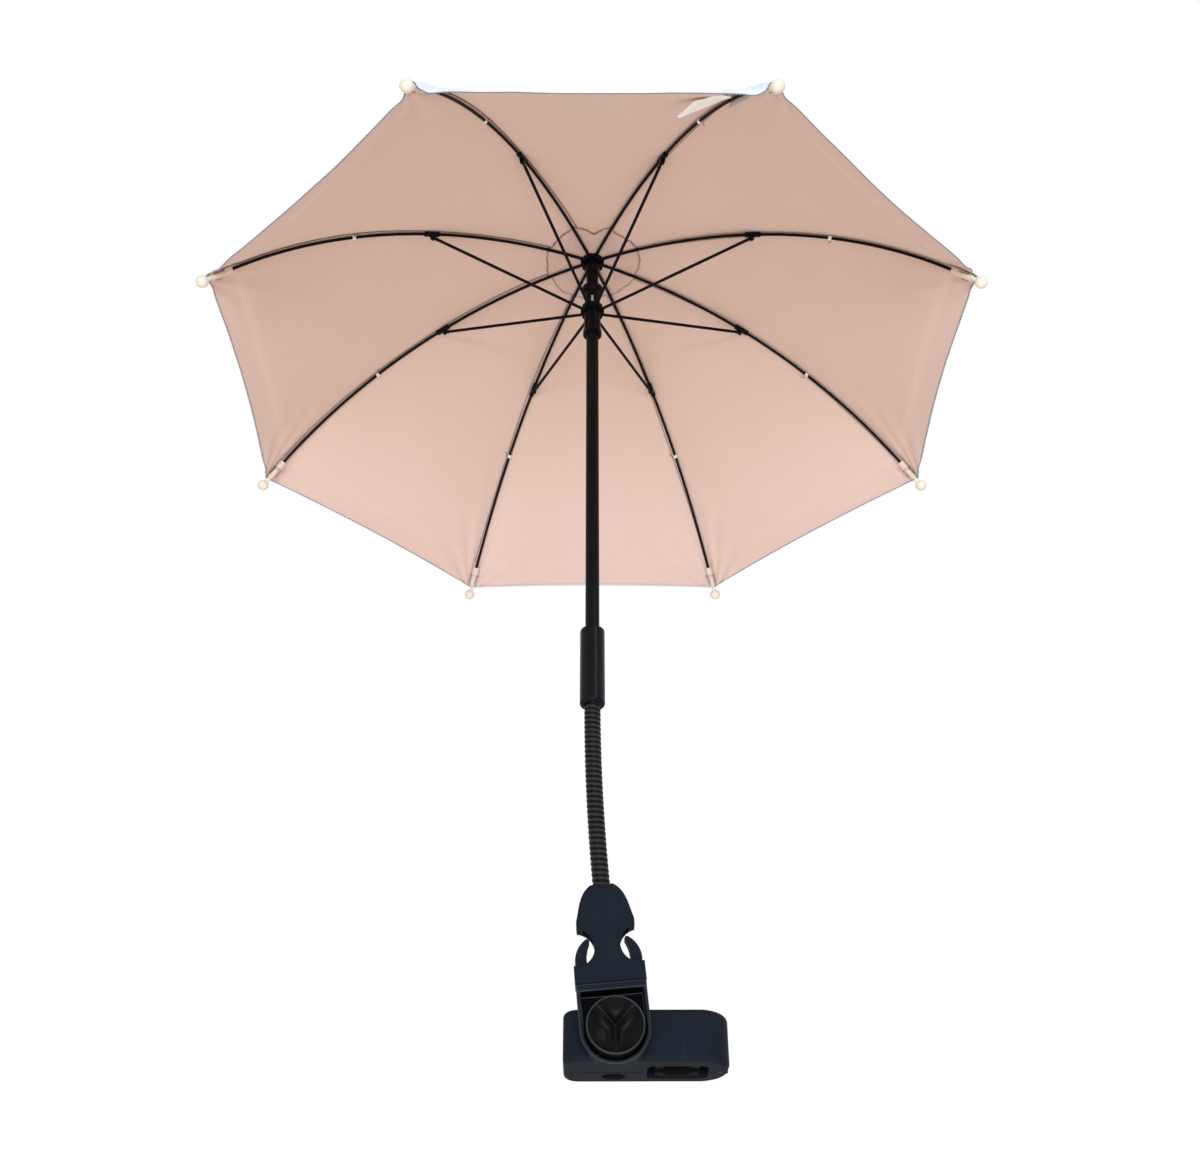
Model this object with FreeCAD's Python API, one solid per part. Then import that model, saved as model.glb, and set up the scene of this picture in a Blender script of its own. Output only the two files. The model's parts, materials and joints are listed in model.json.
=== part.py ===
import FreeCAD, Part
import math
import os

V = FreeCAD.Vector

# Pram parasol: a folding domed canopy on a pole, a bendable neck, a side-release buckle
# and a tube clamp. Millimetres, +Z up. The origin is the centre of the gripped tube,
# halfway up the clamp. The clamp's front face and its knob look along -Y.

# Tube clamp
tube_radius = 12.5
jaw_left = 82.1
jaw_right = 36.7
jaw_front = 28.5
jaw_back = 25.5
jaw_height = 37.2
jaw_left_corner = 11.0
jaw_edge_round = 4.0
jaw_crease_x = 18.6
jaw_bulge_x_share = 0.75
jaw_bulge_y_share = 0.667
parting_gap = 1.0
pocket_half_length = 22.0
pocket_corner = 6.0
pad_thickness = 2.5
pad_half_width = 16.0
pad_height = 34.0
pad_lip_share = 0.4
hinge_x = 30.7
knuckle_radius = 5.5
knuckle_height = 13.0
knuckle_gap = 0.4
hinge_pin_radius = 2.0
run_clearance = 0.05
jaw_swing_deg = 8.0

# Tightening knob, its bolt and the cross nut
knob_x = -44.9
knob_radius = 21.4
knob_depth = 16.0
knob_rim_depth = 3.6
knob_rim_step = 0.6
knob_edge_round = 0.5
knob_rim_width = 1.3
bowl_depth = 6.5
ridge_turns_deg = (-90.0, 50.0, 130.0)
ridge_top_width = 2.2
ridge_foot_width = 9.0
ridge_drop = 0.5
bolt_radius = 4.0
bolt_hole_gap = 0.4
bolt_tip_wall = 3.4
bolt_head_height = 5.0
washer_radius = 10.0
washer_thickness = 1.5
nut_radius = 7.0
nut_height = 26.0
nut_y = 10.0
nut_pocket_gap = 0.4
nut_slot_wall = 1.6

# Holder pan with the male half of the buckle, in its own frame: s is up from the knob
holder_tilt_deg = 5.0
holder_gap = 0.4
buckle_thickness = 17.0
pan_radius = 25.2
pan_wall = 2.5
pan_floor = 4.0
pan_rim_drop = 2.5
base_bottom_s = 26.7
base_top_s = 31.9
base_front_drop = 0.6
tongue_half_width = 4.5
tongue_top_s = 61.7
slot_thickness = 9.0
slot_gap = 0.6
arm_root_half_width = 3.8
arm_root_t = 19.4
arm_outer_t = 24.3
arm_outer_mid_t = 22.6
arm_mid_s = 58.0
arm_tip_t = 15.6
arm_tip_s = 66.4
arm_tip_width = 2.6
arm_tip_round_share = 0.333
arm_inner_mid_t = 15.0
arm_shoulder_s = 47.9
arm_foot_gap = 0.3

# Female half of the buckle
mouth_gap = 0.4
mouth_half_width = 25.6
mouth_shoulder_s = 46.2
mouth_cavity_half_width = 23.8
mouth_cavity_top_s = 49.7
window_start_t = 16.4
window_start_s = 47.2
waist_half_width = 9.3
waist_s = 59.2
channel_half_width = 5.4
lip_half_width = 21.3
lip_s = 74.5
wide_s = 79.0
cheek_half_width = 18.6
cheek_s = 89.7
shoulder_half_width = 14.9
shoulder_s = 99.5
crown_half_width = 8.4
socket_top_s = 106.5
hollow_half_width = 17.0
hollow_bottom_s = 63.7
hollow_top_s = 85.7
socket_corner_round = 4.0
socket_edge_round = 2.0

# Bendable neck
neck_radius = 6.7
neck_groove_depth = 0.55
neck_bore_radius = 3.5
neck_length = 156.4
neck_insert = 13.0
neck_ribs_per_part = 12
neck_part_count = 3
rib_ring_shares = (0.1, 0.3, 0.7, 0.9)
part_joint_gap = 0.1

# Barrel that joins the neck to the pole
barrel_radius = 10.3
barrel_length = 72.6
barrel_end_round = 2.2
barrel_core = 8.0

# Pole
pole_radius = 5.95
pole_wall = 1.0
pole_rise = 447.2
flex_from_crown = 148.0
flex_length = 48.0
flex_ribs = 20
flex_groove_depth = 0.35
flex_bore_radius = 1.6
flex_plug_length = 12.0
plug_clearance = 0.05

# Crown hub
hub_radius = 11.9
hub_below = 3.5
hub_above = 3.2
hub_core_radius = 5.4
hub_slot_width = 3.9
hub_boss_radius = 7.7
hub_boss_foot_radius = 6.9
hub_boss_length = 15.0
hub_stud_radius = 3.2
hub_stud_height = 12.0
crown_wire_radius = 0.6
rib_hinge_radius = 8.0
eye_radius = 2.2
eye_thickness = 2.4
eye_clearance = 0.35
cap_radius = 11.0
cap_height = 17.0
cap_flange_height = 2.4
cap_neck_share = 0.52
cap_gap = 0.3

# Ribs, tips and stretchers
rib_count = 8
tip_circle_radius = 365.0
rib_arc_radius = 460.0
rib_radius = 1.4
rib_straight = 32.0
first_rib_deg = -112.5
tip_ball_radius = 5.5
tip_neck_radius = 2.0
tip_collar_radius = 3.6
tip_sleeve_radius = 3.1
tip_waist_radius = 2.5
tip_neck_length = 10.0
tip_sleeve_length = 10.5
tip_waist_length = 2.8
tip_collar_length = 8.2
tip_bore_clearance = 0.05
tip_bore_stop = 7.0
clip_circle_radius = 168.0
clip_drop = 4.4
clip_sleeve_radius = 2.5
clip_sleeve_length = 15.0
clip_cheek_width = 0.9
clip_cheek_gap = 2.4
clip_cheek_radius = 2.1
clip_pin_radius = 0.8
stretcher_radius = 1.5
stretcher_eye_radius = 1.9
stretcher_eye_width = 1.8
stretcher_neck = 4.2
pin_clearance = 0.2

# Runner, in heights below the crown hinge
runner_pivot_radius = 10.8
runner_pivot_drop = 71.0
runner_clearance = 0.1
runner_ring_radius = 11.7
runner_ring_below = 2.4
runner_ring_above = 3.2
runner_slot_width = 3.6
runner_sleeve_radius = 8.2
runner_bead_radius = 9.1
runner_bead_height = 4.6
runner_below = 32.0
runner_neck_radius = 7.6
runner_flange_radius = 10.6
runner_flange_height = 6.5
runner_above = 31.0
runner_window_width = 3.4
runner_window_height = 15.0
runner_flute_radius = 0.9
runner_flute_count = 8

# Spring catch in the pole, behind the runner's window
catch_width = 2.2
catch_length = 12.0
catch_thickness = 0.8
catch_reach = 1.6
catch_nose_share = 0.75
catch_slot_gap = 0.3

# Cloth
cloth_thickness = 0.6
cloth_gap = 0.7
cloth_hole_radius = 5.0
seam_gap = 0.3
hem_inset = 10.2
strap_length = 34.0
strap_width = 17.0
strap_thickness = 0.8
strap_gap = 0.6
strap_from_seam = 5.0
strap_from_hem = 80.0

cut_overrun = 1.0
full_turn_deg = 360.0
half_turn_deg = 180.0

# Places worked out from the sizes above
jaw_swing = math.radians(jaw_swing_deg)
nut_lever = hinge_x - knob_x
nut_travel = nut_lever * math.sin(jaw_swing)
nut_shift = (nut_y + nut_travel) * math.sin(jaw_swing) - nut_lever * (1 - math.cos(jaw_swing))
tilt = math.radians(holder_tilt_deg)
holder_y = -jaw_front - holder_gap - buckle_thickness / 2
neck_bend_radius = neck_length / tilt
neck_start_x = knob_x - socket_top_s * math.sin(tilt)
neck_start_z = socket_top_s * math.cos(tilt)
pole_x = neck_start_x - neck_bend_radius * (1 - math.cos(tilt))
barrel_z = neck_start_z + neck_bend_radius * math.sin(tilt)
pole_foot_z = barrel_z + barrel_length / 2 + barrel_core / 2
crown_z = barrel_z + barrel_length + pole_rise
flex_top_z = crown_z - flex_from_crown
flex_foot_z = flex_top_z - flex_length
rib_step_deg = full_turn_deg / rib_count
rib_reach = math.hypot(rib_arc_radius, rib_straight)
rib_end_angle = math.asin(tip_circle_radius / rib_reach) - math.atan2(rib_straight, rib_arc_radius)
clip_angle = math.asin(clip_circle_radius / rib_arc_radius)
clip_reach = rib_arc_radius - clip_drop
clip_r = clip_reach * math.sin(clip_angle)
clip_z = clip_reach * math.cos(clip_angle) - rib_arc_radius
cloth_arc_radius = rib_arc_radius + tip_collar_radius + cloth_gap
hem_angle = rib_end_angle + (rib_straight - hem_inset) / cloth_arc_radius
axis_x = V(1, 0, 0)
axis_y = V(0, 1, 0)
axis_z = V(0, 0, 1)
origin = V(0, 0, 0)


# A cylinder from a base point along an axis
def rod(radius, length, base=origin, axis=axis_z):
    return Part.makeCylinder(radius, length, base, axis)


# A block given by its lowest and highest corners
def block(low, high):
    size = high - low
    return Part.makeBox(size.x, size.y, size.z, low)


# A solid turned about Z from a closed outline of (radius, height) points
def turned(points):
    corners = [V(r, 0, z) for r, z in points]
    face = Part.Face(Part.makePolygon(corners + [corners[0]]))
    return face.revolve(origin, axis_z, full_turn_deg)


# A solid of the given thickness from edges in the XZ plane, centred on y = 0
def plate(edges, thickness):
    face = Part.Face(Part.Wire(Part.__sortEdges__(edges)))
    solid = face.extrude(V(0, thickness, 0))
    solid.translate(V(0, -thickness / 2, 0))
    return solid


def line(a, b):
    return Part.LineSegment(a, b).toShape()


def arc(a, b, c):
    return Part.Arc(a, b, c).toShape()


# A smooth curve through a few points
def curve(points):
    spline = Part.BSplineCurve()
    spline.interpolate(points)
    return spline.toShape()


# From the crown frame, whose origin is the pole axis at hinge level, to the part's frame
def on_crown(shape, turn_deg=0):
    shape.rotate(origin, axis_z, turn_deg)
    shape.translate(V(pole_x, holder_y, crown_z))
    return shape


# From the holder frame, whose origin is the knob's centre, to the part's frame
def on_holder(shape):
    shape.rotate(origin, axis_y, -holder_tilt_deg)
    shape.translate(V(knob_x, holder_y, 0))
    return shape


def rib_azimuth(index):
    return first_rib_deg + index * rib_step_deg


# The whole clamp block before it is parted into two jaws
def clamp_block():
    front_left = V(-jaw_left, -jaw_front + jaw_left_corner, 0)
    front_flat = V(-jaw_left + jaw_left_corner, -jaw_front, 0)
    back_left = V(-jaw_left, jaw_back - jaw_left_corner, 0)
    back_flat = V(-jaw_left + jaw_left_corner, jaw_back, 0)
    inset = jaw_left_corner * (1 - math.sqrt(2) / 2)
    front_corner = V(-jaw_left + inset, -jaw_front + inset, 0)
    back_corner = V(-jaw_left + inset, jaw_back - inset, 0)
    front_crease = V(jaw_crease_x, -jaw_front, 0)
    back_crease = V(jaw_crease_x, jaw_back, 0)
    end = V(jaw_right, 0, 0)
    bulge = jaw_crease_x + (jaw_right - jaw_crease_x) * jaw_bulge_x_share
    front_bulge = V(bulge, -jaw_front * jaw_bulge_y_share, 0)
    back_bulge = V(bulge, jaw_back * jaw_bulge_y_share, 0)
    edges = [
        arc(front_left, front_corner, front_flat),
        line(front_flat, front_crease),
        arc(front_crease, front_bulge, end),
        arc(end, back_bulge, back_crease),
        line(back_crease, back_flat),
        arc(back_flat, back_corner, back_left),
        line(back_left, front_left),
    ]
    solid = Part.Face(Part.Wire(edges)).extrude(V(0, 0, jaw_height))
    solid.translate(V(0, 0, -jaw_height / 2))
    level = jaw_height / 2 - jaw_edge_round / 2
    rims = [e for e in solid.Edges if abs(e.CenterOfMass.z) > level]
    return solid.makeFillet(jaw_edge_round, rims)


# The hollow between the jaws, with room for a pad on each side of the tube
def pocket():
    depth = tube_radius + pad_thickness
    hollow = block(
        V(-pocket_half_length, -depth, -jaw_height),
        V(pocket_half_length, depth, jaw_height),
    )
    upright = [e for e in hollow.Edges if e.BoundBox.ZLength > jaw_height]
    return hollow.makeFillet(pocket_corner, upright)


# One half of the clamp block: side -1 is the front jaw, side 1 the back jaw
def half_clamp(side):
    reach = jaw_left + jaw_right
    near = parting_gap / 2 if side > 0 else -reach
    far = reach if side > 0 else -parting_gap / 2
    keep = block(V(-reach, near, -jaw_height), V(reach, far, jaw_height))
    return clamp_block().common(keep).cut(pocket())


# A knuckle about the hinge pin between two heights
def knuckle(low, high, radius=knuckle_radius):
    return rod(radius, high - low, V(hinge_x, 0, low))


def front_jaw():
    half_knuckle = knuckle_height / 2
    reach = jaw_height
    jaw = half_clamp(-1)
    room = knuckle_radius + knuckle_gap
    jaw = jaw.cut(knuckle(half_knuckle, reach, room)).cut(knuckle(-reach, -half_knuckle, room))
    jaw = jaw.fuse(knuckle(-half_knuckle + knuckle_gap / 2, half_knuckle - knuckle_gap / 2))
    jaw = jaw.cut(knuckle(-reach, reach, hinge_pin_radius + run_clearance))
    bolt_hole = rod(bolt_radius + bolt_hole_gap, 2 * jaw_front, V(knob_x, -2 * jaw_front, 0), axis_y)
    return jaw.cut(bolt_hole).removeSplitter()


def back_jaw():
    half_knuckle = knuckle_height / 2
    top = jaw_height / 2
    jaw = half_clamp(1)
    jaw = jaw.cut(knuckle(-half_knuckle, half_knuckle, knuckle_radius + knuckle_gap))
    jaw = jaw.fuse(knuckle(half_knuckle + knuckle_gap / 2, top))
    jaw = jaw.fuse(knuckle(-top, -half_knuckle - knuckle_gap / 2))
    jaw = jaw.cut(knuckle(-jaw_height, jaw_height, hinge_pin_radius + run_clearance))
    bolt_room = bolt_radius + bolt_hole_gap
    slot = block(
        V(knob_x - nut_shift - bolt_room, 0, -bolt_room),
        V(knob_x + bolt_room, jaw_back - nut_slot_wall, bolt_room),
    )
    room = nut_radius + nut_pocket_gap
    low = -jaw_height
    depth = jaw_height + nut_height / 2 + nut_pocket_gap
    left_seat = rod(room, depth, V(knob_x - nut_shift, nut_y, low))
    right_seat = rod(room, depth, V(knob_x, nut_y, low))
    middle = block(
        V(knob_x - nut_shift, nut_y - room, low),
        V(knob_x, nut_y + room, low + depth),
    )
    return jaw.cut(slot).cut(left_seat).cut(right_seat).cut(middle).removeSplitter()


def hinge_pin():
    return rod(hinge_pin_radius, jaw_height, V(hinge_x, 0, -jaw_height / 2))


# A rubber pad with a concave seat for the tube
def grip_pad(side):
    floor = tube_radius + pad_thickness
    lip = tube_radius * pad_lip_share
    low_y, high_y = (-floor, -lip) if side < 0 else (lip, floor)
    half = pad_height / 2
    pad = block(V(-pad_half_width, low_y, -half), V(pad_half_width, high_y, half))
    return pad.cut(rod(tube_radius, jaw_height, V(0, 0, -jaw_height / 2)))


# Holder frame heights of the pieces stacked on the knob's axis, along y
pan_inside_y = buckle_thickness / 2 - pan_floor
knob_back_y = pan_inside_y - washer_thickness
knob_front_y = knob_back_y - knob_depth


# The three ridges that part the knob's bowl, meeting in a Y
def knob_ridges(reach):
    foot_y = knob_front_y + bowl_depth + cut_overrun
    top_y = knob_front_y + ridge_drop
    corners = [
        V(-ridge_foot_width / 2, foot_y, 0),
        V(ridge_foot_width / 2, foot_y, 0),
        V(ridge_top_width / 2, top_y, 0),
        V(-ridge_top_width / 2, top_y, 0),
    ]
    ridges = []
    for turn_deg in ridge_turns_deg:
        ridge = Part.Face(Part.makePolygon(corners + [corners[0]])).extrude(V(0, 0, reach))
        ridge.rotate(origin, axis_y, full_turn_deg / 4 - turn_deg)
        ridges.append(ridge)
    return ridges


# The knob: a flanged disc whose face is a bowl with three ridges for the fingers
def knob():
    flange = rod(knob_radius, knob_rim_depth, V(0, knob_back_y, 0), -axis_y)
    grip = knob_radius - knob_rim_step
    head = rod(grip, knob_depth - knob_rim_depth, V(0, knob_back_y - knob_rim_depth, 0), -axis_y)
    bowl_edge = grip - knob_rim_width
    bowl_radius = (bowl_edge ** 2 + bowl_depth ** 2) / (2 * bowl_depth)
    head = head.cut(Part.makeSphere(bowl_radius, V(0, knob_front_y + bowl_depth - bowl_radius, 0)))
    front = knob_front_y + knob_edge_round
    rims = [e for e in head.Edges if e.CenterOfMass.y < front and e.Closed]
    head = head.makeFillet(knob_edge_round, rims)
    inside = rod(bowl_edge, knob_depth, V(0, knob_back_y, 0), -axis_y)
    for ridge in knob_ridges(bowl_edge):
        head = head.fuse(ridge.common(inside))
    hole = rod(bolt_radius, bolt_head_height, V(0, knob_back_y, 0), -axis_y)
    body = flange.fuse(head).cut(hole).removeSplitter()
    body.translate(V(knob_x, holder_y, 0))
    return body


def knob_bolt():
    start = holder_y + knob_back_y - bolt_head_height
    length = jaw_back - bolt_tip_wall - start
    return rod(bolt_radius, length, V(knob_x, start, 0), axis_y)


def thrust_washer():
    disc = rod(washer_radius, washer_thickness, V(0, knob_back_y, 0), axis_y)
    hole = rod(bolt_radius + bolt_hole_gap, washer_thickness, V(0, knob_back_y, 0), axis_y)
    return on_holder(disc.cut(hole))


def barrel_nut():
    nut = rod(nut_radius, nut_height, V(knob_x, nut_y, -nut_height / 2))
    bore = rod(bolt_radius + run_clearance, 2 * jaw_back, V(knob_x, -jaw_back + nut_y, 0), axis_y)
    return nut.cut(bore)


# The U-shaped outline of the pan: a round foot with straight sides up to a height
def pan_outline(radius, top):
    left, right = V(-radius, 0, 0), V(radius, 0, 0)
    return [
        arc(left, V(0, 0, -radius), right),
        line(right, V(radius, 0, top)),
        line(V(radius, 0, top), V(-radius, 0, top)),
        line(V(-radius, 0, top), left),
    ]


def buckle_plug():
    half = buckle_thickness / 2
    wide = 2 * pan_radius
    body = plate(pan_outline(pan_radius, base_top_s), buckle_thickness)
    rim_front = V(wide, -half + pan_rim_drop, base_bottom_s)
    body = body.cut(block(V(-wide, -half, -wide), rim_front))
    inside = plate(pan_outline(pan_radius - pan_wall, base_bottom_s), buckle_thickness)
    inside.translate(V(0, -pan_floor, 0))
    body = body.cut(inside)
    base_front = V(wide, -half + base_front_drop, 2 * base_top_s)
    body = body.cut(block(V(-wide, -half, base_bottom_s), base_front))
    tongue_half = slot_thickness / 2 - slot_gap
    tongue = block(
        V(-tongue_half_width, -tongue_half, base_bottom_s),
        V(tongue_half_width, tongue_half, tongue_top_s),
    )
    hole = rod(bolt_radius + bolt_hole_gap, buckle_thickness, V(0, -half, 0), axis_y)
    return on_holder(body.fuse(tongue).cut(hole).removeSplitter())


# A sprung latch arm: side -1 is the left one, 1 the right one
def latch_arm(side):
    foot = base_top_s + arm_foot_gap
    root_in = arm_root_t - arm_root_half_width
    root_out = arm_root_t + arm_root_half_width
    tip_out = V(arm_tip_t, 0, arm_tip_s)
    tip_in = V(arm_tip_t - arm_tip_width, 0, arm_tip_s - arm_tip_width)
    tip_mid = V(arm_tip_t - arm_tip_width, 0, arm_tip_s - arm_tip_width * arm_tip_round_share)
    shoulder_in = V(root_out, 0, arm_shoulder_s)
    shoulder_out = V(arm_outer_t, 0, arm_shoulder_s)
    edges = [
        line(V(root_in, 0, foot), V(root_out, 0, foot)),
        line(V(root_out, 0, foot), shoulder_in),
        line(shoulder_in, shoulder_out),
        arc(shoulder_out, V(arm_outer_mid_t, 0, arm_mid_s), tip_out),
        arc(tip_out, tip_mid, tip_in),
        arc(tip_in, V(arm_inner_mid_t, 0, arm_mid_s), V(root_in, 0, arm_shoulder_s)),
        line(V(root_in, 0, arm_shoulder_s), V(root_in, 0, foot)),
    ]
    arm = plate(edges, slot_thickness - 2 * slot_gap)
    if side < 0:
        arm = arm.mirror(origin, axis_x)
    return on_holder(arm)


# Edges of one side of the socket's outline, from the mouth up to the neck
def socket_side(side):
    def at(t, s):
        return V(side * t, 0, s)

    mouth = at(mouth_half_width, base_top_s + mouth_gap)
    step = at(mouth_half_width, mouth_shoulder_s)
    window = at(window_start_t, window_start_s)
    lip = at(lip_half_width, lip_s)
    wide = at(lip_half_width, wide_s)
    shoulder = at(shoulder_half_width, shoulder_s)
    return [
        line(mouth, step),
        line(step, window),
        arc(window, at(waist_half_width, waist_s), lip),
        line(lip, wide),
        curve([wide, at(cheek_half_width, cheek_s), shoulder, at(crown_half_width, socket_top_s)]),
    ]


def buckle_socket():
    mouth_s = base_top_s + mouth_gap
    ends = [
        line(V(-mouth_half_width, 0, mouth_s), V(mouth_half_width, 0, mouth_s)),
        line(V(-crown_half_width, 0, socket_top_s), V(crown_half_width, 0, socket_top_s)),
    ]
    body = plate(socket_side(1) + socket_side(-1) + ends, buckle_thickness)
    half = buckle_thickness / 2
    across = [e for e in body.Edges if abs(e.CenterOfMass.y) < half / 2 and e.CenterOfMass.z > cheek_s]
    body = body.makeFillet(socket_corner_round, across)
    rims = [e for e in body.Edges if abs(e.CenterOfMass.y) > half - socket_edge_round / 2]
    body = body.makeFillet(socket_edge_round, rims)
    deep = slot_thickness / 2

    def room(half_width, low, high):
        return block(V(-half_width, -deep, low), V(half_width, deep, high))

    body = body.cut(room(mouth_cavity_half_width, 0, mouth_cavity_top_s))
    body = body.cut(room(channel_half_width, 0, hollow_top_s))
    body = body.cut(room(hollow_half_width, hollow_bottom_s, hollow_top_s))
    seat = rod(neck_radius, neck_insert + cut_overrun, V(0, 0, socket_top_s - neck_insert))
    return on_holder(body.cut(seat).removeSplitter())


# A point of the neck's centre line and its lean, by length from the socket's top face
def neck_point(length):
    if length < 0:
        lean = tilt
        x = neck_start_x - length * math.sin(tilt)
        z = neck_start_z + length * math.cos(tilt)
    elif length > neck_length:
        lean = 0
        x = pole_x
        z = barrel_z + length - neck_length
    else:
        lean = tilt * (1 - length / neck_length)
        x = pole_x + neck_bend_radius * (1 - math.cos(lean))
        z = barrel_z - neck_bend_radius * math.sin(lean)
    return V(x, holder_y, z), lean


# A circle square to a centre line that leans in the XZ plane, with its seam on Y
def ring_wire(radius, centre, lean):
    wire = Part.Wire(Part.makeCircle(radius, origin, axis_z))
    wire.rotate(origin, axis_z, full_turn_deg / 4)
    wire.rotate(origin, axis_y, -math.degrees(lean))
    wire.translate(centre)
    return wire


# A ribbed stretch of the neck, with plain ends where it enters a seat, and its bore
def neck_part(index):
    span = neck_length / neck_part_count
    pitch = span / neck_ribs_per_part
    start = index * span
    valley = neck_radius - neck_groove_depth
    radii = (valley, neck_radius, neck_radius, valley)
    rings = []
    for rib in range(neck_ribs_per_part):
        for share, r in zip(rib_ring_shares, radii):
            rings.append((start + (rib + share) * pitch, r))
    first = start + part_joint_gap / 2
    last = start + span - part_joint_gap / 2
    if index == 0:
        rings = [(-neck_insert, valley), (0, valley)] + rings
    else:
        rings = [(first, valley)] + rings
    if index == neck_part_count - 1:
        rings = rings + [(neck_length, valley), (neck_length + neck_insert, valley)]
    else:
        rings = rings + [(last, valley)]
    outside = [ring_wire(r, *neck_point(at)) for at, r in rings]
    inside = [ring_wire(neck_bore_radius, *neck_point(at)) for at, r in rings]
    skin = Part.makeLoft(outside, True, True)
    return skin.cut(Part.makeLoft(inside, True, True))


def coupling_barrel():
    body = rod(barrel_radius, barrel_length, V(pole_x, holder_y, barrel_z))
    ends = [e for e in body.Edges if e.Closed]
    body = body.makeFillet(barrel_end_round, ends)
    neck_seat = rod(neck_radius, neck_insert + cut_overrun, V(pole_x, holder_y, barrel_z - cut_overrun))
    pole_seat = rod(pole_radius, barrel_length, V(pole_x, holder_y, pole_foot_z))
    return body.cut(neck_seat).cut(pole_seat)


# A length of pole tube between two heights
def pole_length(low, high):
    bore = pole_radius - pole_wall
    base = V(pole_x, holder_y, low)
    return rod(pole_radius, high - low, base).cut(rod(bore, high - low, base))


def pole_lower():
    return pole_length(pole_foot_z, flex_foot_z)


def pole_upper():
    tube = pole_length(flex_top_z, crown_z - hub_below)
    half = catch_width / 2 + catch_slot_gap
    slot = block(
        V(pole_x - half, holder_y - 2 * pole_radius, catch_foot_z - catch_slot_gap),
        V(pole_x + half, holder_y, catch_foot_z + catch_length + catch_slot_gap),
    )
    return tube.cut(slot)


# The ringed section that lets the canopy lean, plugged into both lengths of pole
def pole_flex():
    pitch = flex_length / flex_ribs
    valley = pole_radius - flex_groove_depth
    radii = (valley, pole_radius, pole_radius, valley)
    plug = pole_radius - pole_wall - plug_clearance
    stations = []
    for rib in range(flex_ribs):
        for share, r in zip(rib_ring_shares, radii):
            stations.append((flex_foot_z + (rib + share) * pitch, r))
    low = flex_foot_z - flex_plug_length
    high = flex_top_z + flex_plug_length
    rings = [ring_wire(r, V(pole_x, holder_y, z), 0) for z, r in stations]
    foot = ring_wire(valley, V(pole_x, holder_y, flex_foot_z), 0)
    head = ring_wire(valley, V(pole_x, holder_y, flex_top_z), 0)
    skin = Part.makeLoft([foot] + rings + [head], True, True)
    core = rod(plug, high - low, V(pole_x, holder_y, low))
    bore = rod(flex_bore_radius, high - low, V(pole_x, holder_y, low))
    return skin.fuse(core).cut(bore)


# Upright slots, one at each rib
def slots(width, inner, outer, low, high):
    cutters = []
    for index in range(rib_count):
        cutter = block(V(inner, -width / 2, low), V(outer, width / 2, high))
        cutter.rotate(origin, axis_z, rib_azimuth(index))
        cutters.append(cutter)
    return Part.makeCompound(cutters)


def crown_hub():
    boss_top = -hub_below
    boss_foot = boss_top - hub_boss_length
    body = turned([
        (0, boss_foot),
        (hub_boss_foot_radius, boss_foot),
        (hub_boss_radius, boss_top),
        (hub_radius, boss_top),
        (hub_radius, hub_above),
        (hub_stud_radius, hub_above),
        (hub_stud_radius, hub_above + hub_stud_height),
        (0, hub_above + hub_stud_height),
    ])
    body = body.cut(slots(hub_slot_width, hub_core_radius, 2 * hub_radius, boss_top, hub_above))
    body = body.cut(Part.makeTorus(rib_hinge_radius, crown_wire_radius))
    body = body.cut(rod(pole_radius, hub_boss_length, V(0, 0, boss_foot)))
    return on_crown(body)


def crown_wire():
    return on_crown(Part.makeTorus(rib_hinge_radius, crown_wire_radius))


# The outer cap on top of the cloth
def top_cap():
    seat = cloth_arc_radius - rib_arc_radius + cloth_thickness + cap_gap
    neck = cap_radius * cap_neck_share
    flange = turned([
        (0, seat),
        (cap_radius, seat),
        (cap_radius, seat + cap_flange_height / 2),
        (neck, seat + cap_flange_height),
        (0, seat + cap_flange_height),
    ])
    dome_z = seat + cap_height - neck
    stem = rod(neck, dome_z - seat, V(0, 0, seat))
    body = flange.fuse(stem).fuse(Part.makeSphere(neck, V(0, 0, dome_z)))
    bore = rod(hub_stud_radius, hub_above + hub_stud_height)
    return on_crown(body.cut(bore).removeSplitter())


# A point of a rib's arc in the plane of the rib, by its angle from the crown
def rib_point(angle, radius=rib_arc_radius):
    return V(radius * math.sin(angle), 0, radius * math.cos(angle) - rib_arc_radius)


def rib_end_line():
    return rib_point(rib_end_angle), V(math.cos(rib_end_angle), 0, -math.sin(rib_end_angle))


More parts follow.
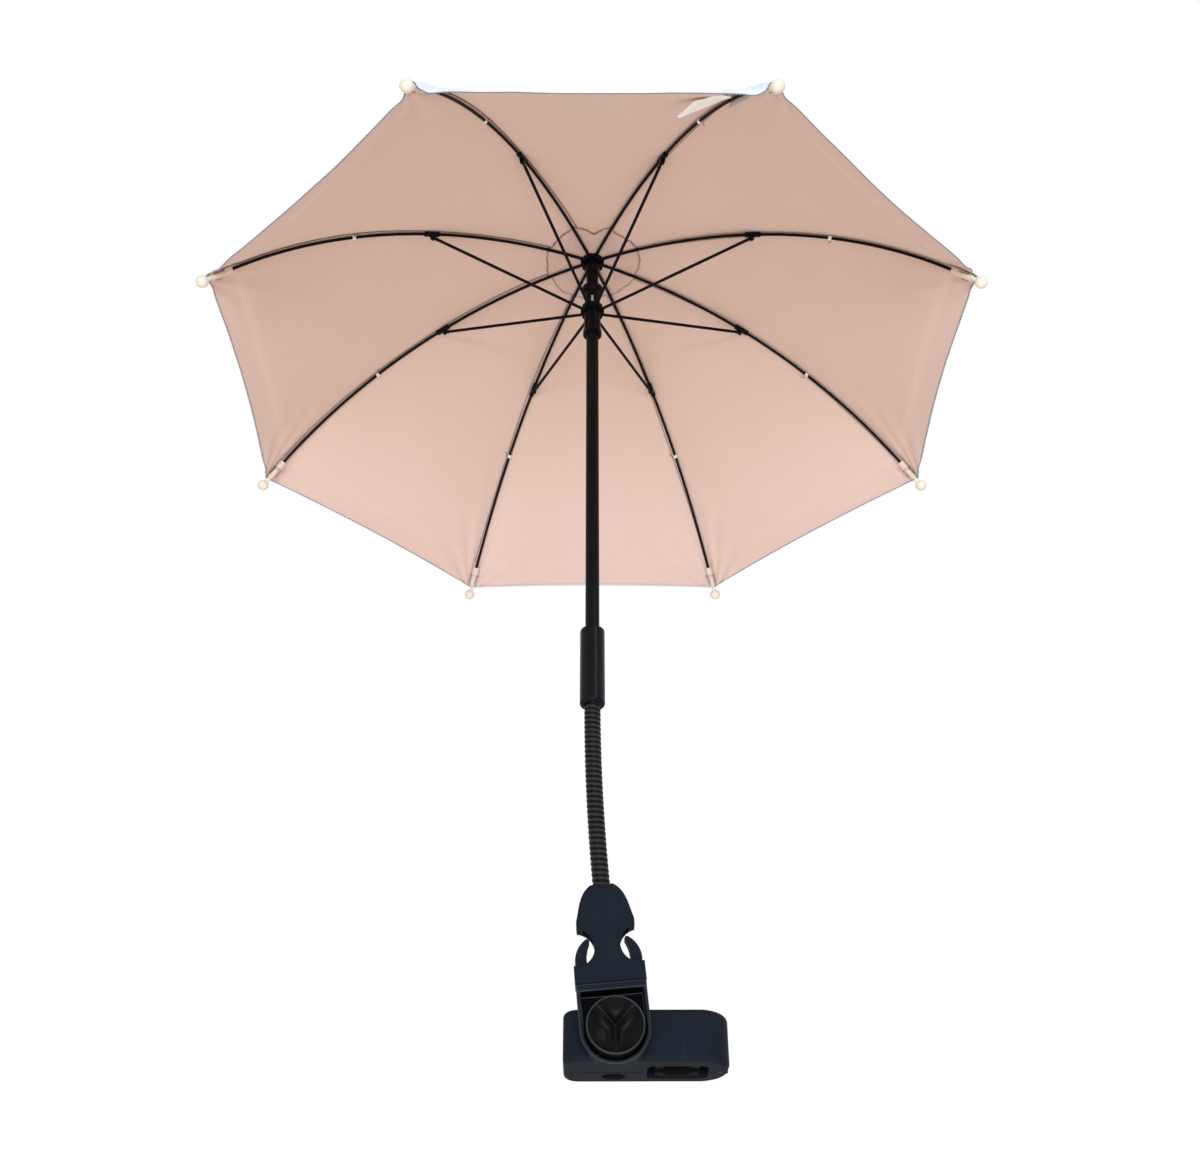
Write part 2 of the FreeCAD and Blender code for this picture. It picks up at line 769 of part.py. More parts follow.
# A bent rib with its hinge eye, straight end and the forked clip for a stretcher
def rib(index):
    start_angle = math.asin((rib_hinge_radius + eye_radius / 2) / rib_arc_radius)
    section = Part.Face(Part.Wire(Part.makeCircle(rib_radius, rib_point(start_angle), axis_x)))
    section.rotate(rib_point(start_angle), axis_y, math.degrees(start_angle))
    centre = V(0, 0, -rib_arc_radius)
    body = section.revolve(centre, axis_y, math.degrees(rib_end_angle - start_angle))
    end, along = rib_end_line()
    body = body.fuse(rod(rib_radius, rib_straight - tip_bore_stop, end, along))
    eye_place = V(rib_hinge_radius, -eye_thickness / 2, 0)
    body = body.fuse(rod(eye_radius, eye_thickness, eye_place, axis_y))
    body = body.cut(rod(crown_wire_radius + eye_clearance, eye_thickness, eye_place, axis_y))
    tangent = V(math.cos(clip_angle), 0, -math.sin(clip_angle))
    sleeve_start = rib_point(clip_angle) - tangent * (clip_sleeve_length / 2)
    body = body.fuse(rod(clip_sleeve_radius, clip_sleeve_length, sleeve_start, tangent))
    pin = V(clip_r, 0, clip_z)
    up = V(math.sin(clip_angle), 0, math.cos(clip_angle))
    for side in (-1, 1):
        near = side * clip_cheek_gap / 2
        far = near + side * clip_cheek_width
        low = V(0, min(near, far), 0)
        cheek = rod(clip_cheek_radius, clip_cheek_width, pin + low, axis_y)
        web = block(
            V(-clip_cheek_radius, min(near, far), 0),
            V(clip_cheek_radius, max(near, far), clip_drop),
        )
        web.rotate(origin, axis_y, math.degrees(clip_angle))
        web.translate(pin)
        body = body.fuse(cheek).fuse(web)
    span = clip_cheek_gap + 2 * clip_cheek_width
    body = body.fuse(rod(clip_pin_radius, span, pin - V(0, span / 2, 0), axis_y))
    room = stretcher_eye_radius + pin_clearance
    relief = rod(room, clip_cheek_gap, pin - V(0, clip_cheek_gap / 2, 0), axis_y)
    pin_core = rod(clip_pin_radius, span, pin - V(0, span / 2, 0), axis_y)
    body = body.cut(relief.cut(pin_core))
    return on_crown(body.removeSplitter(), rib_azimuth(index))


# A moulded tip: collar, tied waist, sleeve, neck and ball, bored for the rib
def rib_tip(index):
    ball = 0
    neck = -tip_neck_length
    sleeve = neck - tip_sleeve_length
    waist = sleeve - tip_waist_length
    collar = waist - tip_collar_length
    body = turned([
        (0, collar),
        (tip_collar_radius, collar),
        (tip_collar_radius, waist),
        (tip_waist_radius, waist),
        (tip_waist_radius, sleeve),
        (tip_sleeve_radius, sleeve),
        (tip_sleeve_radius, neck),
        (tip_neck_radius, neck),
        (tip_neck_radius, ball),
        (0, ball),
    ])
    body = body.fuse(Part.makeSphere(tip_ball_radius))
    bore_length = -tip_bore_stop - collar
    body = body.cut(rod(rib_radius + tip_bore_clearance, bore_length, V(0, 0, collar)))
    end, along = rib_end_line()
    body.rotate(origin, axis_y, half_turn_deg / 2 + math.degrees(rib_end_angle))
    body.translate(end + along * rib_straight)
    return on_crown(body, rib_azimuth(index))


def stretcher(index):
    outer = V(clip_r, 0, clip_z)
    inner = V(runner_pivot_radius, 0, -runner_pivot_drop)
    along = (inner - outer).normalize()
    length = (inner - outer).Length
    neck = outer + along * stretcher_neck
    body = rod(stretcher_radius, length - stretcher_neck, neck, along)
    body = body.fuse(Part.makeSphere(stretcher_radius, inner))
    half = stretcher_eye_width / 2
    eye = rod(stretcher_eye_radius, stretcher_eye_width, outer - V(0, half, 0), axis_y)
    web = block(
        V(0, -half, -stretcher_radius),
        V(stretcher_neck + stretcher_radius, half, stretcher_radius),
    )
    web.rotate(origin, axis_y, math.degrees(math.atan2(-along.z, along.x)))
    web.translate(outer)
    body = body.fuse(eye).fuse(web)
    hole = rod(clip_pin_radius + pin_clearance, stretcher_eye_width, outer - V(0, half, 0), axis_y)
    return on_crown(body.cut(hole).removeSplitter(), rib_azimuth(index))


def runner():
    ring_low = -runner_pivot_drop - runner_ring_below
    ring_high = -runner_pivot_drop + runner_ring_above
    foot = -runner_pivot_drop - runner_below
    bead = foot + runner_bead_height
    head = -runner_pivot_drop + runner_above
    flange = head - runner_flange_height
    bore = pole_radius + runner_clearance
    body = turned([
        (bore, foot),
        (runner_bead_radius, foot),
        (runner_bead_radius, bead),
        (runner_sleeve_radius, bead),
        (runner_sleeve_radius, ring_low),
        (runner_ring_radius, ring_low),
        (runner_ring_radius, ring_high),
        (runner_neck_radius, ring_high),
        (runner_neck_radius, flange),
        (runner_flange_radius, flange + runner_flange_height / 2),
        (runner_flange_radius, head),
        (bore, head),
    ])
    wide = 2 * runner_ring_radius
    body = body.cut(slots(runner_slot_width, runner_sleeve_radius, wide, ring_low, ring_high))
    for index in range(runner_flute_count):
        angle = full_turn_deg * index / runner_flute_count
        flute = rod(runner_flute_radius, ring_low - bead, V(runner_sleeve_radius, 0, bead))
        flute.rotate(origin, axis_z, angle)
        body = body.cut(flute)
    half = runner_window_width / 2
    window = block(V(-half, -wide, ring_high), V(half, 0, ring_high + runner_window_height))
    return on_crown(body.cut(window).removeSplitter())


# The catch stands in the lower part of the runner's window
catch_foot_z = crown_z - runner_pivot_drop + runner_ring_above + catch_slot_gap


# A steel leaf in the pole's slot with a hooked nose that stands out through the window
def spring_catch():
    inside = pole_radius - pole_wall - catch_thickness - plug_clearance
    nose = pole_radius + catch_reach
    points = [
        V(0, -inside, 0),
        V(0, -inside - catch_thickness, 0),
        V(0, -nose, catch_length * catch_nose_share),
        V(0, -nose, catch_length),
        V(0, -inside, catch_length),
    ]
    face = Part.Face(Part.makePolygon(points + [points[0]]))
    leaf = face.extrude(V(catch_width, 0, 0))
    leaf.translate(V(pole_x - catch_width / 2, holder_y, catch_foot_z))
    return leaf


# One cloth panel, straight across from rib to rib and bent along them
def canopy_panel(index):
    inner = cloth_arc_radius
    outer = cloth_arc_radius + cloth_thickness
    top = math.asin(cloth_hole_radius / inner)
    middle = (top + hem_angle) / 2
    wires = []
    for side in (-1, 1):
        edges = [
            arc(rib_point(top, inner), rib_point(middle, inner), rib_point(hem_angle, inner)),
            line(rib_point(hem_angle, inner), rib_point(hem_angle, outer)),
            arc(rib_point(hem_angle, outer), rib_point(middle, outer), rib_point(top, outer)),
            line(rib_point(top, outer), rib_point(top, inner)),
        ]
        wire = Part.Wire(edges)
        wire.translate(V(0, -side * seam_gap / 2, 0))
        wire.rotate(origin, axis_z, side * rib_step_deg / 2)
        wires.append(wire)
    return on_crown(Part.makeLoft(wires, True, True), rib_azimuth(index) + rib_step_deg / 2)


# The closing strap, sewn under the front panel beside the second rib
def closing_strap():
    upper = hem_angle - (strap_from_hem + strap_width) / cloth_arc_radius
    lower = hem_angle - strap_from_hem / cloth_arc_radius
    near = strap_from_seam
    far = strap_from_seam + strap_length
    seam = rib_step_deg / 2
    half = math.radians(seam)
    points = []
    for angle, reach in ((upper, near), (lower, near), (lower, far), (upper, far)):
        flat = rib_point(angle, cloth_arc_radius - strap_gap)
        points.append(V(flat.x * math.cos(half), flat.x * math.sin(half) - reach, flat.z))
    face = Part.Face(Part.makePolygon(points + [points[0]]))
    normal = face.normalAt(0, 0)
    down = normal if normal.z < 0 else -normal
    strap = face.extrude(down * strap_thickness)
    return on_crown(strap, rib_azimuth(0) + seam)


def build():
    nodes = {
        "front_jaw": front_jaw(),
        "back_jaw": back_jaw(),
        "hinge_pin": hinge_pin(),
        "front_pad": grip_pad(-1),
        "back_pad": grip_pad(1),
        "knob": knob(),
        "knob_bolt": knob_bolt(),
        "thrust_washer": thrust_washer(),
        "barrel_nut": barrel_nut(),
        "buckle_plug": buckle_plug(),
        "latch_left": latch_arm(-1),
        "latch_right": latch_arm(1),
        "buckle_socket": buckle_socket(),
        "neck_lower": neck_part(0),
        "neck_middle": neck_part(1),
        "neck_upper": neck_part(2),
        "coupling_barrel": coupling_barrel(),
        "pole_lower": pole_lower(),
        "pole_flex": pole_flex(),
        "pole_upper": pole_upper(),
        "spring_catch": spring_catch(),
        "runner": runner(),
        "crown_hub": crown_hub(),
        "crown_wire": crown_wire(),
        "top_cap": top_cap(),
        "closing_strap": closing_strap(),
    }
    for index in range(rib_count):
        number = index + 1
        nodes[f"rib_{number}"] = rib(index)
        nodes[f"rib_tip_{number}"] = rib_tip(index)
        nodes[f"stretcher_{number}"] = stretcher(index)
        nodes[f"canopy_panel_{number}"] = canopy_panel(index)
    return nodes


os.makedirs("parts", exist_ok=True)
for name, shape in build().items():
    print(name, shape.isValid(), len(shape.Solids), round(shape.Volume, 1))
    shape.exportStep(f"parts/{name}.step")
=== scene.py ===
import functools
import json
import math

import bmesh
import bpy
from bpy.props import FloatProperty, FloatVectorProperty, IntProperty, PointerProperty
from mathutils import Matrix, Vector, noise
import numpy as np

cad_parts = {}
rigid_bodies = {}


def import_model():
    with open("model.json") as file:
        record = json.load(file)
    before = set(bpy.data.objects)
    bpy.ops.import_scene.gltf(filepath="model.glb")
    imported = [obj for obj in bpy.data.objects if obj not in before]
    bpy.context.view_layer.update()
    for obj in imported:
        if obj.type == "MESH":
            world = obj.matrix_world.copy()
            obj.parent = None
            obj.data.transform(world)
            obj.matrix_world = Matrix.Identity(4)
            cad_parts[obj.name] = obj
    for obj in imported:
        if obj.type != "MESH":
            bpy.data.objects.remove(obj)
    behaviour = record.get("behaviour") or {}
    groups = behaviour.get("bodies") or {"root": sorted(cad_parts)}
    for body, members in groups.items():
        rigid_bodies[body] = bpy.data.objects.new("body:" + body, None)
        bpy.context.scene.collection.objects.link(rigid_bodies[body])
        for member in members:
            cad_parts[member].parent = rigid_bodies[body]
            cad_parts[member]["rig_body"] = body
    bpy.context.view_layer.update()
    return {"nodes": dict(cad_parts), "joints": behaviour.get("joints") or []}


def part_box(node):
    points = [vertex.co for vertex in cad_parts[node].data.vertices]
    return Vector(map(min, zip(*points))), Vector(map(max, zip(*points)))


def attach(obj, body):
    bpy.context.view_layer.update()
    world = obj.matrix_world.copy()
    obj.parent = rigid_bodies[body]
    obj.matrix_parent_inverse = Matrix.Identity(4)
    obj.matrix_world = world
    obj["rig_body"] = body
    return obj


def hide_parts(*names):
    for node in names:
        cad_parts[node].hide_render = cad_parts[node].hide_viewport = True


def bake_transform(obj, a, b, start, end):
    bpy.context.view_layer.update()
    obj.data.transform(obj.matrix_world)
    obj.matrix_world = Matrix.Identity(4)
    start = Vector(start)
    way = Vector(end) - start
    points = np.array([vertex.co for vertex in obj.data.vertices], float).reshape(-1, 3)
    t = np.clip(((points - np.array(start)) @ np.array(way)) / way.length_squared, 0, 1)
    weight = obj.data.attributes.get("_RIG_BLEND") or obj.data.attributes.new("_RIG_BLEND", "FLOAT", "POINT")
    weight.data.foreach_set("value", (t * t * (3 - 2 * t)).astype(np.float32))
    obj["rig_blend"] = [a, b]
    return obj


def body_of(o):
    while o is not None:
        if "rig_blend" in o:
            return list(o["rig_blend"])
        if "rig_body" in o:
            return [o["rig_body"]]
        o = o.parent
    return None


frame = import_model()

bl_info = {
    "name": "Pram Parasol",
    "version": (1, 0, 0),
    "blender": (4, 5, 0),
    "location": "View3D > Sidebar > Parasol",
    "description": "Dresses the pram parasol's frame with its cloth, threads and finishes",
    "category": "Add Mesh",
}

# Places read from the frame, in metres
joints = {joint["name"]: joint for joint in frame["joints"]}
rib_count = len([name for name in joints if name.startswith("rib_fold_")])
rib_numbers = range(1, rib_count + 1)
rib_step = 2 * math.pi / rib_count
rib_hinges = [Vector(joints[f"rib_fold_{n}"]["pos_m"]) for n in rib_numbers]
crown = sum(rib_hinges, Vector()) / rib_count
first_azimuth = math.atan2(rib_hinges[0].y - crown.y, rib_hinges[0].x - crown.x)
pole_low, pole_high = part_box("pole_upper")
barrel_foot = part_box("coupling_barrel")[0].z
panel_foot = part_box("canopy_panel_1")[0].z
release_axis = joints["buckle_release"]["axis"]
buckle_lean = math.atan2(-release_axis[0], release_axis[2])

# How far a panel falls at its two corners, and how far they turn down, as shares of the full sizes
corner_falls = {1: (1.0, 1.0), 2: (0.0, -0.3), 6: (0.15, -0.4), 8: (0.3, 1.0)}
corner_turns = {1: (1.0, 1.5), 2: (0.6, 0.15)}
taut_corners = (0.15, 0.15)
# Where a corner's fall and turn begin beside a tip, over what run, and from which row it falls
fall_start, fall_run, fall_row = 0.0025, 0.008, 0.8
turn_start, turn_run = 0.002, 0.006
# How far in from the hem the tips' sleeves lift the cloth, and over what run
sleeve_reach, sleeve_run = 0.034, 0.010
# A panel's sag from crown to hem, as shares of half a wave
sag_start, sag_run = 0.1, 0.6
# The cloth's long and short waves per metre, the short ones' share, and how soon they start at rib and crown
wave_scale, ripple_scale, ripple_share = 9.0, 23.0, 0.5
free_of_rib, free_of_crown = 6, 5
# Folds that fan out from a tip: their number, height against the waves, how soon they start beside a rib,
# the row that they fan from, and how they fade towards the crown and across
fold_turns, fold_height, fold_start, fold_centre = 14.0, 1.3, 22, 1.02
fold_fade_up, fold_fade_across = 5.5, 5.0
# How much closer a panel's rows lie at its hem, and its columns and rows
row_crowding = 1.6
panel_columns, panel_rows = 60, 72
# The panel whose overlocked hem shows its pale side
pale_hem_panel = 5
# Layers of trim under the cloth, in cloth thicknesses
under_face, under_back = 1.9, 1.0

# The closing strap's webbing, its loop and its short end, with their flat sizes, columns and rows
strap_thickness = 0.0007
loop_flat, loop_columns, loop_rows = (0.0115, 0.060), 56, 10
end_flat, end_columns, end_rows, end_share = (0.010, 0.042), 32, 6, 0.54

# Merging and rounding of the moulded parts
merge_distance = 0.000002
flat_angle, sharp_angle = math.radians(0.6), math.radians(32)
# The recess behind the knob, whose faces get painted shade: its floor's depth, its wall's depths and its
# reach from the knob's axis
recess_floor, recess_wall, recess_reach = 0.010, (0.002, 0.0126), 0.045

# The three ridges in the knob's dish
ridge_turns = [math.radians(degrees) for degrees in (270, 48, 132)]
ridge_width, ridge_power, ridge_share, dish_power = 0.0026, 1.7, 0.72, 0.8

# Each lamp's place from the crown, width and height, and colour
lamps = {
    "key": (Vector((-0.1, -3.0, -0.9)), (2.0, 1.0), (0.62, 0.80, 1.0)),
    "floor": (Vector((0.0, -0.01, -1.62)), (2.4, 2.4), (1.0, 0.94, 0.88)),
    "strip": (Vector((1.0, -1.6, 0.6)), (0.5, 0.9), (0.85, 0.93, 1.0)),
}
lamp_aim = Vector((0, 0, -0.15))
sensor_width = 36.0
floor_size = 6.0
floor_colours = ((0.78, 0.78, 0.77, 1.0), (0.82, 0.82, 0.81, 1.0))
world_colour, white = (0.97, 0.98, 1.0, 1.0), (1.0, 1.0, 1.0, 1.0)


def length_prop(name, description, default):
    return FloatProperty(name=name, description=description, default=default, unit="LENGTH")


def angle_prop(name, description, degrees):
    return FloatProperty(name=name, description=description, default=math.radians(degrees), subtype="ANGLE")


def power_prop(name, description, default):
    return FloatProperty(name=name, description=description, default=default, unit="POWER")


def count_prop(name, description, default, least):
    return IntProperty(name=name, description=description, default=default, min=least)


def colour_prop(name, description, default):
    return FloatVectorProperty(
        name=name, description=description, default=default, size=3, subtype="COLOR", min=0, max=1
    )


class CanopySizes(bpy.types.PropertyGroup):
    """Sizes and colours of the canopy's cloth"""

    rib_arc: length_prop("Rib arc", "Radius of a rib's bend", 0.460)
    rib_radius: length_prop("Rib radius", "Half the thickness of a rib", 0.0014)
    rib_end_angle: angle_prop("Rib end", "Angle of the rib's bend from crown to tip", 48.35)
    cloth_lift: length_prop("Cloth lift", "Height of the cloth over a rib's centre line", 0.0030)
    tip_lift: length_prop("Tip lift", "The same height at the tips' sleeves", 0.0043)
    cloth_thickness: length_prop("Cloth thickness", "Thickness of the coated cloth", 0.0004)
    crown_hole: length_prop("Crown hole", "Radius of the hole for the cap's stud", 0.005)
    hem_scallop: length_prop("Hem scallop", "How far the hem draws in between two tips", 0.003)
    hem_reach: length_prop("Hem reach", "How far the sewn hem reaches past the packed panels", 0.0018)
    panel_sag: length_prop("Panel sag", "How far a panel draws in between two ribs", 0.0055)
    tip_fall: length_prop("Tip fall", "How far the cloth falls at both sides of a tip", 0.0044)
    unevenness: length_prop("Unevenness", "Height of the cloth's soft waves", 0.0009)
    patch_radius: length_prop("Patch radius", "Radius of the round patch at the crown", 0.047)
    corner_wrap: length_prop("Corner wrap", "How far a panel's corner wraps down beside a tip", 0.0028)
    corner_run: length_prop("Corner run", "How far along the hem a corner is turned", 0.078)
    corner_rise: length_prop("Corner rise", "How far in from the hem a corner is turned", 0.010)
    seam_offset: length_prop("Seam offset", "Distance of a seam from its rib", 0.0031)
    tie_radius: length_prop("Tie place", "Distance of the ribs' thread ties from the pole", 0.242)
    lining_colour: colour_prop("Lining", "Inner face of the cloth", (0.700, 0.478, 0.380))
    outside_colour: colour_prop("Outside", "Coated outer face of the cloth", (0.76, 0.76, 0.77))
    hem_colour: colour_prop("Hem thread", "Overlock thread round the hem", (0.165, 0.145, 0.135))
    picot_colour: colour_prop("Hem loops", "Pale loops of the overlock thread", (0.500, 0.460, 0.490))
    patch_colour: colour_prop("Patch", "Cloth of the crown patch", (0.660, 0.440, 0.360))
    seam_colour: colour_prop("Seam thread", "Thread along the panel seams", (0.215, 0.130, 0.095))
    strap_colour: colour_prop("Strap", "Webbing of the closing strap", (0.86, 0.80, 0.73))


class FrameSizes(bpy.types.PropertyGroup):
    """Sizes and colours of the neck, the pole and the moulded parts"""

    neck_radius: length_prop("Neck radius", "Outer radius of the bendable neck", 0.0067)
    neck_ring_depth: length_prop("Neck groove", "Depth of the neck's grooves", 0.0009)
    neck_rings: count_prop("Neck rings", "Rings along the neck", 36, 10)
    neck_insert: length_prop("Neck insert", "How far the neck goes into its seats", 0.012)
    flex_ring_depth: length_prop("Flex groove", "Depth of the grooves in the pole's ringed section", 0.0004)
    flex_rings: count_prop("Flex rings", "Rings on the pole's ringed section", 20, 4)
    tip_ball_radius: length_prop("Tip ball", "Radius of a tip's ball", 0.0055)
    tip_sleeve_radius: length_prop("Tip sleeve", "Radius of a tip's sleeve", 0.0031)
    tip_waist_radius: length_prop("Tip waist", "Radius of a tip's tied waist", 0.0025)
    tip_waist_back: length_prop("Waist place", "Distance of a tip's waist from its ball", 0.0219)
    tip_pocket_back: length_prop("Pocket place", "Distance of a pocket's mouth from a tip's ball", 0.0100)
    edge_round: length_prop("Edge round", "Rounding of the moulded parts' edges", 0.0008)
    moulded_colour: colour_prop("Moulding", "Matte bluish black moulding", (0.0112, 0.0136, 0.0178))
    # The edges' black is a little lighter than the moulding's: a painted highlight along the rounded edges
    edge_colour: colour_prop("Edges", "Worn edges of the moulding", (0.016, 0.017, 0.019))
    # The knob's satin black, also used duller as the painted shade in the recess behind the knob
    knob_colour: colour_prop("Knob", "Satin black moulding", (0.0042, 0.0036, 0.0033))
    # A grey on the tops of the neck's rings, a painted highlight
    ring_colour: colour_prop("Rings", "Rubbed tops of the neck's rings", (0.031, 0.027, 0.0245))
    paint_colour: colour_prop("Paint", "Black paint on the steel", (0.0036, 0.0040, 0.0050))
    pocket_colour: colour_prop("Pockets", "Cloth pockets round the tips' sleeves", (0.68, 0.53, 0.42))
    ivory_colour: colour_prop("Ivory", "Ivory moulding of the tips and the cap", (0.78, 0.66, 0.51))
    steel_colour: colour_prop("Steel", "Plated steel of the bolt, the wire and the catch", (0.62, 0.61, 0.58))
    rubber_colour: colour_prop("Rubber", "Ribbed pads of the clamp", (0.010, 0.010, 0.010))


class StageSizes(bpy.types.PropertyGroup):
    """Camera, floor and light"""

    lens: FloatProperty(
        name="Lens", description="Focal length on a 36 mm sensor", default=42.9, subtype="DISTANCE_CAMERA"
    )
    camera_back: length_prop("Camera back", "How far the camera stands in front of the pole", 1.0035)
    camera_below: length_prop("Camera below", "How far the camera is under the crown", 1.1016)
    pitch: angle_prop("Pitch", "How far the camera looks up", 35.134)
    yaw: angle_prop("Yaw", "Camera turn", -0.373)
    roll: angle_prop("Roll", "Camera roll", -0.222)
    floor_z: length_prop("Floor", "Height of the floor", -0.95)
    world_light: FloatProperty(name="World light", description="Strength of the even light", default=0.52)
    key_power: power_prop("Key power", "Power of the low front light", 75.0)
    floor_power: power_prop("Floor power", "Power of the light off the floor", 18.5)
    strip_power: power_prop("Strip power", "Power of the strip at the side", 7.0)


def canopy():
    return bpy.context.scene.parasol_canopy


def fittings():
    return bpy.context.scene.parasol_frame


def smooth(x):
    """0 before 0, 1 after 1, and a soft step between."""
    x = min(1.0, max(0.0, x))
    return x * x * (3 - 2 * x)


def path_length(points):
    return sum((b - a).length for a, b in zip(points, points[1:]))


def rib_azimuth(n):
    """The azimuth of rib n, which may also be one past the last."""
    return first_azimuth + (n - 1) * rib_step


def outward(azimuth):
    return Vector((math.cos(azimuth), math.sin(azimuth), 0))


def chord_at(radius):
    """The distance between two ribs at a distance from the pole."""
    return 2 * math.sin(rib_step / 2) * radius


def hem_angle():
    """The angle from the crown at which the sewn hem ends."""
    reach = canopy().rib_arc + canopy().tip_lift
    return math.acos((panel_foot - crown.z + canopy().rib_arc) / reach) + canopy().hem_reach / reach


def rib_place(n, angle):
    """A point of rib n's arc, and the direction along the rib there."""
    reach = canopy().rib_arc
    out = outward(rib_azimuth(n))
    point = crown + out * reach * math.sin(angle) + Vector((0, 0, reach * math.cos(angle) - reach))
    return point, out * math.cos(angle) - Vector((0, 0, math.sin(angle)))


def tip_ball(n):
    """The middle of rib n's ball, and the direction along the tip."""
    end, along = rib_place(n, canopy().rib_end_angle)
    ball_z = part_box(f"rib_tip_{n}")[0].z + fittings().tip_ball_radius
    return end + along * ((ball_z - end.z) / along.z), along


def cloth_point(n, u, v, lift=0.0, puckers=True):
    """A point of panel n: u runs from rib n to the next, v from the crown to the hem, lift is outwards."""
    sizes = canopy()
    bow = 4 * u * (1 - u)
    top = math.asin(sizes.crown_hole / sizes.rib_arc)
    hem = hem_angle() - sizes.hem_scallop / sizes.rib_arc * bow
    angle = top + (hem - top) * v
    rise = smooth((sleeve_reach - (hem_angle() - angle) * sizes.rib_arc) / sleeve_run)
    radius = sizes.rib_arc + sizes.cloth_lift + (sizes.tip_lift - sizes.cloth_lift) * rise
    near = outward(rib_azimuth(n)).lerp(outward(rib_azimuth(n + 1)), u)
    level = radius * math.cos(angle) - sizes.rib_arc
    point = crown + near * radius * math.sin(angle) + Vector((0, 0, level))
    middle = outward(rib_azimuth(n + 0.5))
    face = (middle * math.sin(angle) + Vector((0, 0, math.cos(angle) * math.cos(rib_step / 2)))).normalized()
    inset = -sizes.panel_sag * bow * math.sin(math.pi * min(1.0, sag_start + sag_run * v))
    beside = smooth((from_tip(u) - fall_start) / fall_run) * smooth((v - fall_row) / (1 - fall_row))
    inset -= sizes.tip_fall * between(corner_falls, n, u) * beside
    if puckers:
        inset += cloth_waves(point, u, v) - corner_turn(n, u, v)
    return point + face * (inset + lift)


def taut_point(n, u, v, lift=0.0):
    """A point of panel n without its waves, folds and turned corners."""
    return cloth_point(n, u, v, lift=lift, puckers=False)


def from_tip(u):
    """Distance along the hem to the nearer tip."""
    return min(u, 1 - u) * chord_at(canopy().rib_arc * math.sin(hem_angle()))


def between(corners, n, u):
    """A share between the values at panel n's two corners."""
    first, last = corners.get(n, taut_corners)
    return first + (last - first) * smooth(u)


def corner_turn(n, u, v):
    """How far the cloth turns down at the hem beside a tip."""
    sizes = canopy()
    above = (1 - v) * sizes.rib_arc * hem_angle()
    along = smooth((from_tip(u) - turn_start) / turn_run) * max(0.0, 1 - from_tip(u) / sizes.corner_run)
    turned = sizes.corner_wrap * along * max(0.0, 1 - above / sizes.corner_rise) ** 2
    return turned * between(corner_turns, n, u)


def across_even(u):
    """Spaces a panel's columns closer at its ribs."""
    return 0.5 - 0.5 * math.cos(math.pi * u)


def down_even(v):
    """Spaces a panel's rows closer at its hem."""
    return 1 - (1 - v) ** row_crowding


def cloth_waves(point, u, v):
    """Soft waves between the ribs and short folds that fan out from the tips."""
    edge = min(u, 1 - u)
    free = smooth(edge * free_of_rib) * smooth(v * free_of_crown)
    waves = noise.noise(point * wave_scale) + ripple_share * noise.noise(point * ripple_scale)
    fan = math.atan2(edge, fold_centre - v)
    faded = math.exp(-((1 - v) * fold_fade_up) - edge * fold_fade_across)
    folds = math.sin(fan * fold_turns) * faded * smooth(edge * fold_start)
    return canopy().unevenness * (waves * free + folds * fold_height)


def make_object(name, data):
    made = bpy.data.objects.new(name, data)
    bpy.context.scene.collection.objects.link(made)
    return made


def finished_mesh(name, bm, materials):
    """The mesh of a piece that was built with bmesh, with its finishes."""
    bmesh.ops.recalc_face_normals(bm, faces=bm.faces)
    mesh = bpy.data.meshes.new(name)
    bm.to_mesh(mesh)
    bm.free()
    for material in materials:
        mesh.materials.append(material)
    return mesh


def thin_sheet(name, face, back, columns, rows, materials):
    """A closed thin sheet between two faces given as functions of u and v, with its cut size as UV."""
    bm = bmesh.new()
    uv_layer = bm.loops.layers.uv.new("cut")

    def row_of(place, j):
        return [bm.verts.new(place(i / columns, j / rows)) for i in range(columns + 1)]

    inner, outer = [[row_of(place, j) for j in range(rows + 1)] for place in (face, back)]
    middle = columns // 2
    lengths = {}
    for grid in (inner, outer):
        down = 0.0
        for j, row in enumerate(grid):
            down += (row[middle].co - grid[max(j - 1, 0)][middle].co).length
            for i, vert in enumerate(row):
                across = (vert.co - row[middle].co).length * (1 if i > middle else -1)
                lengths[vert] = (across, down)
    quads = []
    for j in range(rows):
        for i in range(columns):
            k, m = j + 1, i + 1
            quads.append((0, (inner[j][i], inner[k][i], inner[k][m], inner[j][m])))
            quads.append((1, (outer[j][i], outer[j][m], outer[k][m], outer[k][i])))
    border = [(0, i) for i in range(columns)] + [(j, columns) for j in range(rows)]
    border += [(rows, i) for i in range(columns, 0, -1)] + [(j, 0) for j in range(rows, 0, -1)]
    for (j, i), (k, m) in zip(border, border[1:] + border[:1]):
        quads.append((1, (outer[j][i], inner[j][i], inner[k][m], outer[k][m])))
    for side, corners in quads:
        made = bm.faces.new(corners)
        made.material_index = side
        made.smooth = True
        for loop in made.loops:
            loop[uv_layer].uv = lengths[loop.vert]
    return make_object(name, finished_mesh(name, bm, materials))


def follow_cloth(piece, n):
    """Bends a piece with panel n's cloth: it follows rib n at one side and the next rib at the other."""
    a, b = rib_azimuth(n), rib_azimuth(n + 1)
    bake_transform(piece, f"rib_{n}", f"panel_{n}", start=crown + outward(a), end=crown + outward(b))
    shares = []
    for vertex in piece.data.vertices:
        turn = math.atan2(vertex.co.y - crown.y, vertex.co.x - crown.x) - a
        turn = (turn + math.pi) % (2 * math.pi) - math.pi
        shares.append(min(1.0, max(0.0, turn / rib_step)))
    piece.data.attributes["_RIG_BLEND"].data.foreach_set("value", shares)


def flat_area(n, steps=60):
    """The flat area of panel n, from the widths and heights of its rows."""
    total = 0.0
    for k in range(steps):
        v = (k + 0.5) / steps
        width = (taut_point(n, 0, v) - taut_point(n, 1, v)).length
        total += width * (taut_point(n, 0.5, v + 0.5 / steps) - taut_point(n, 0.5, v - 0.5 / steps)).length
    return total


# Node helpers


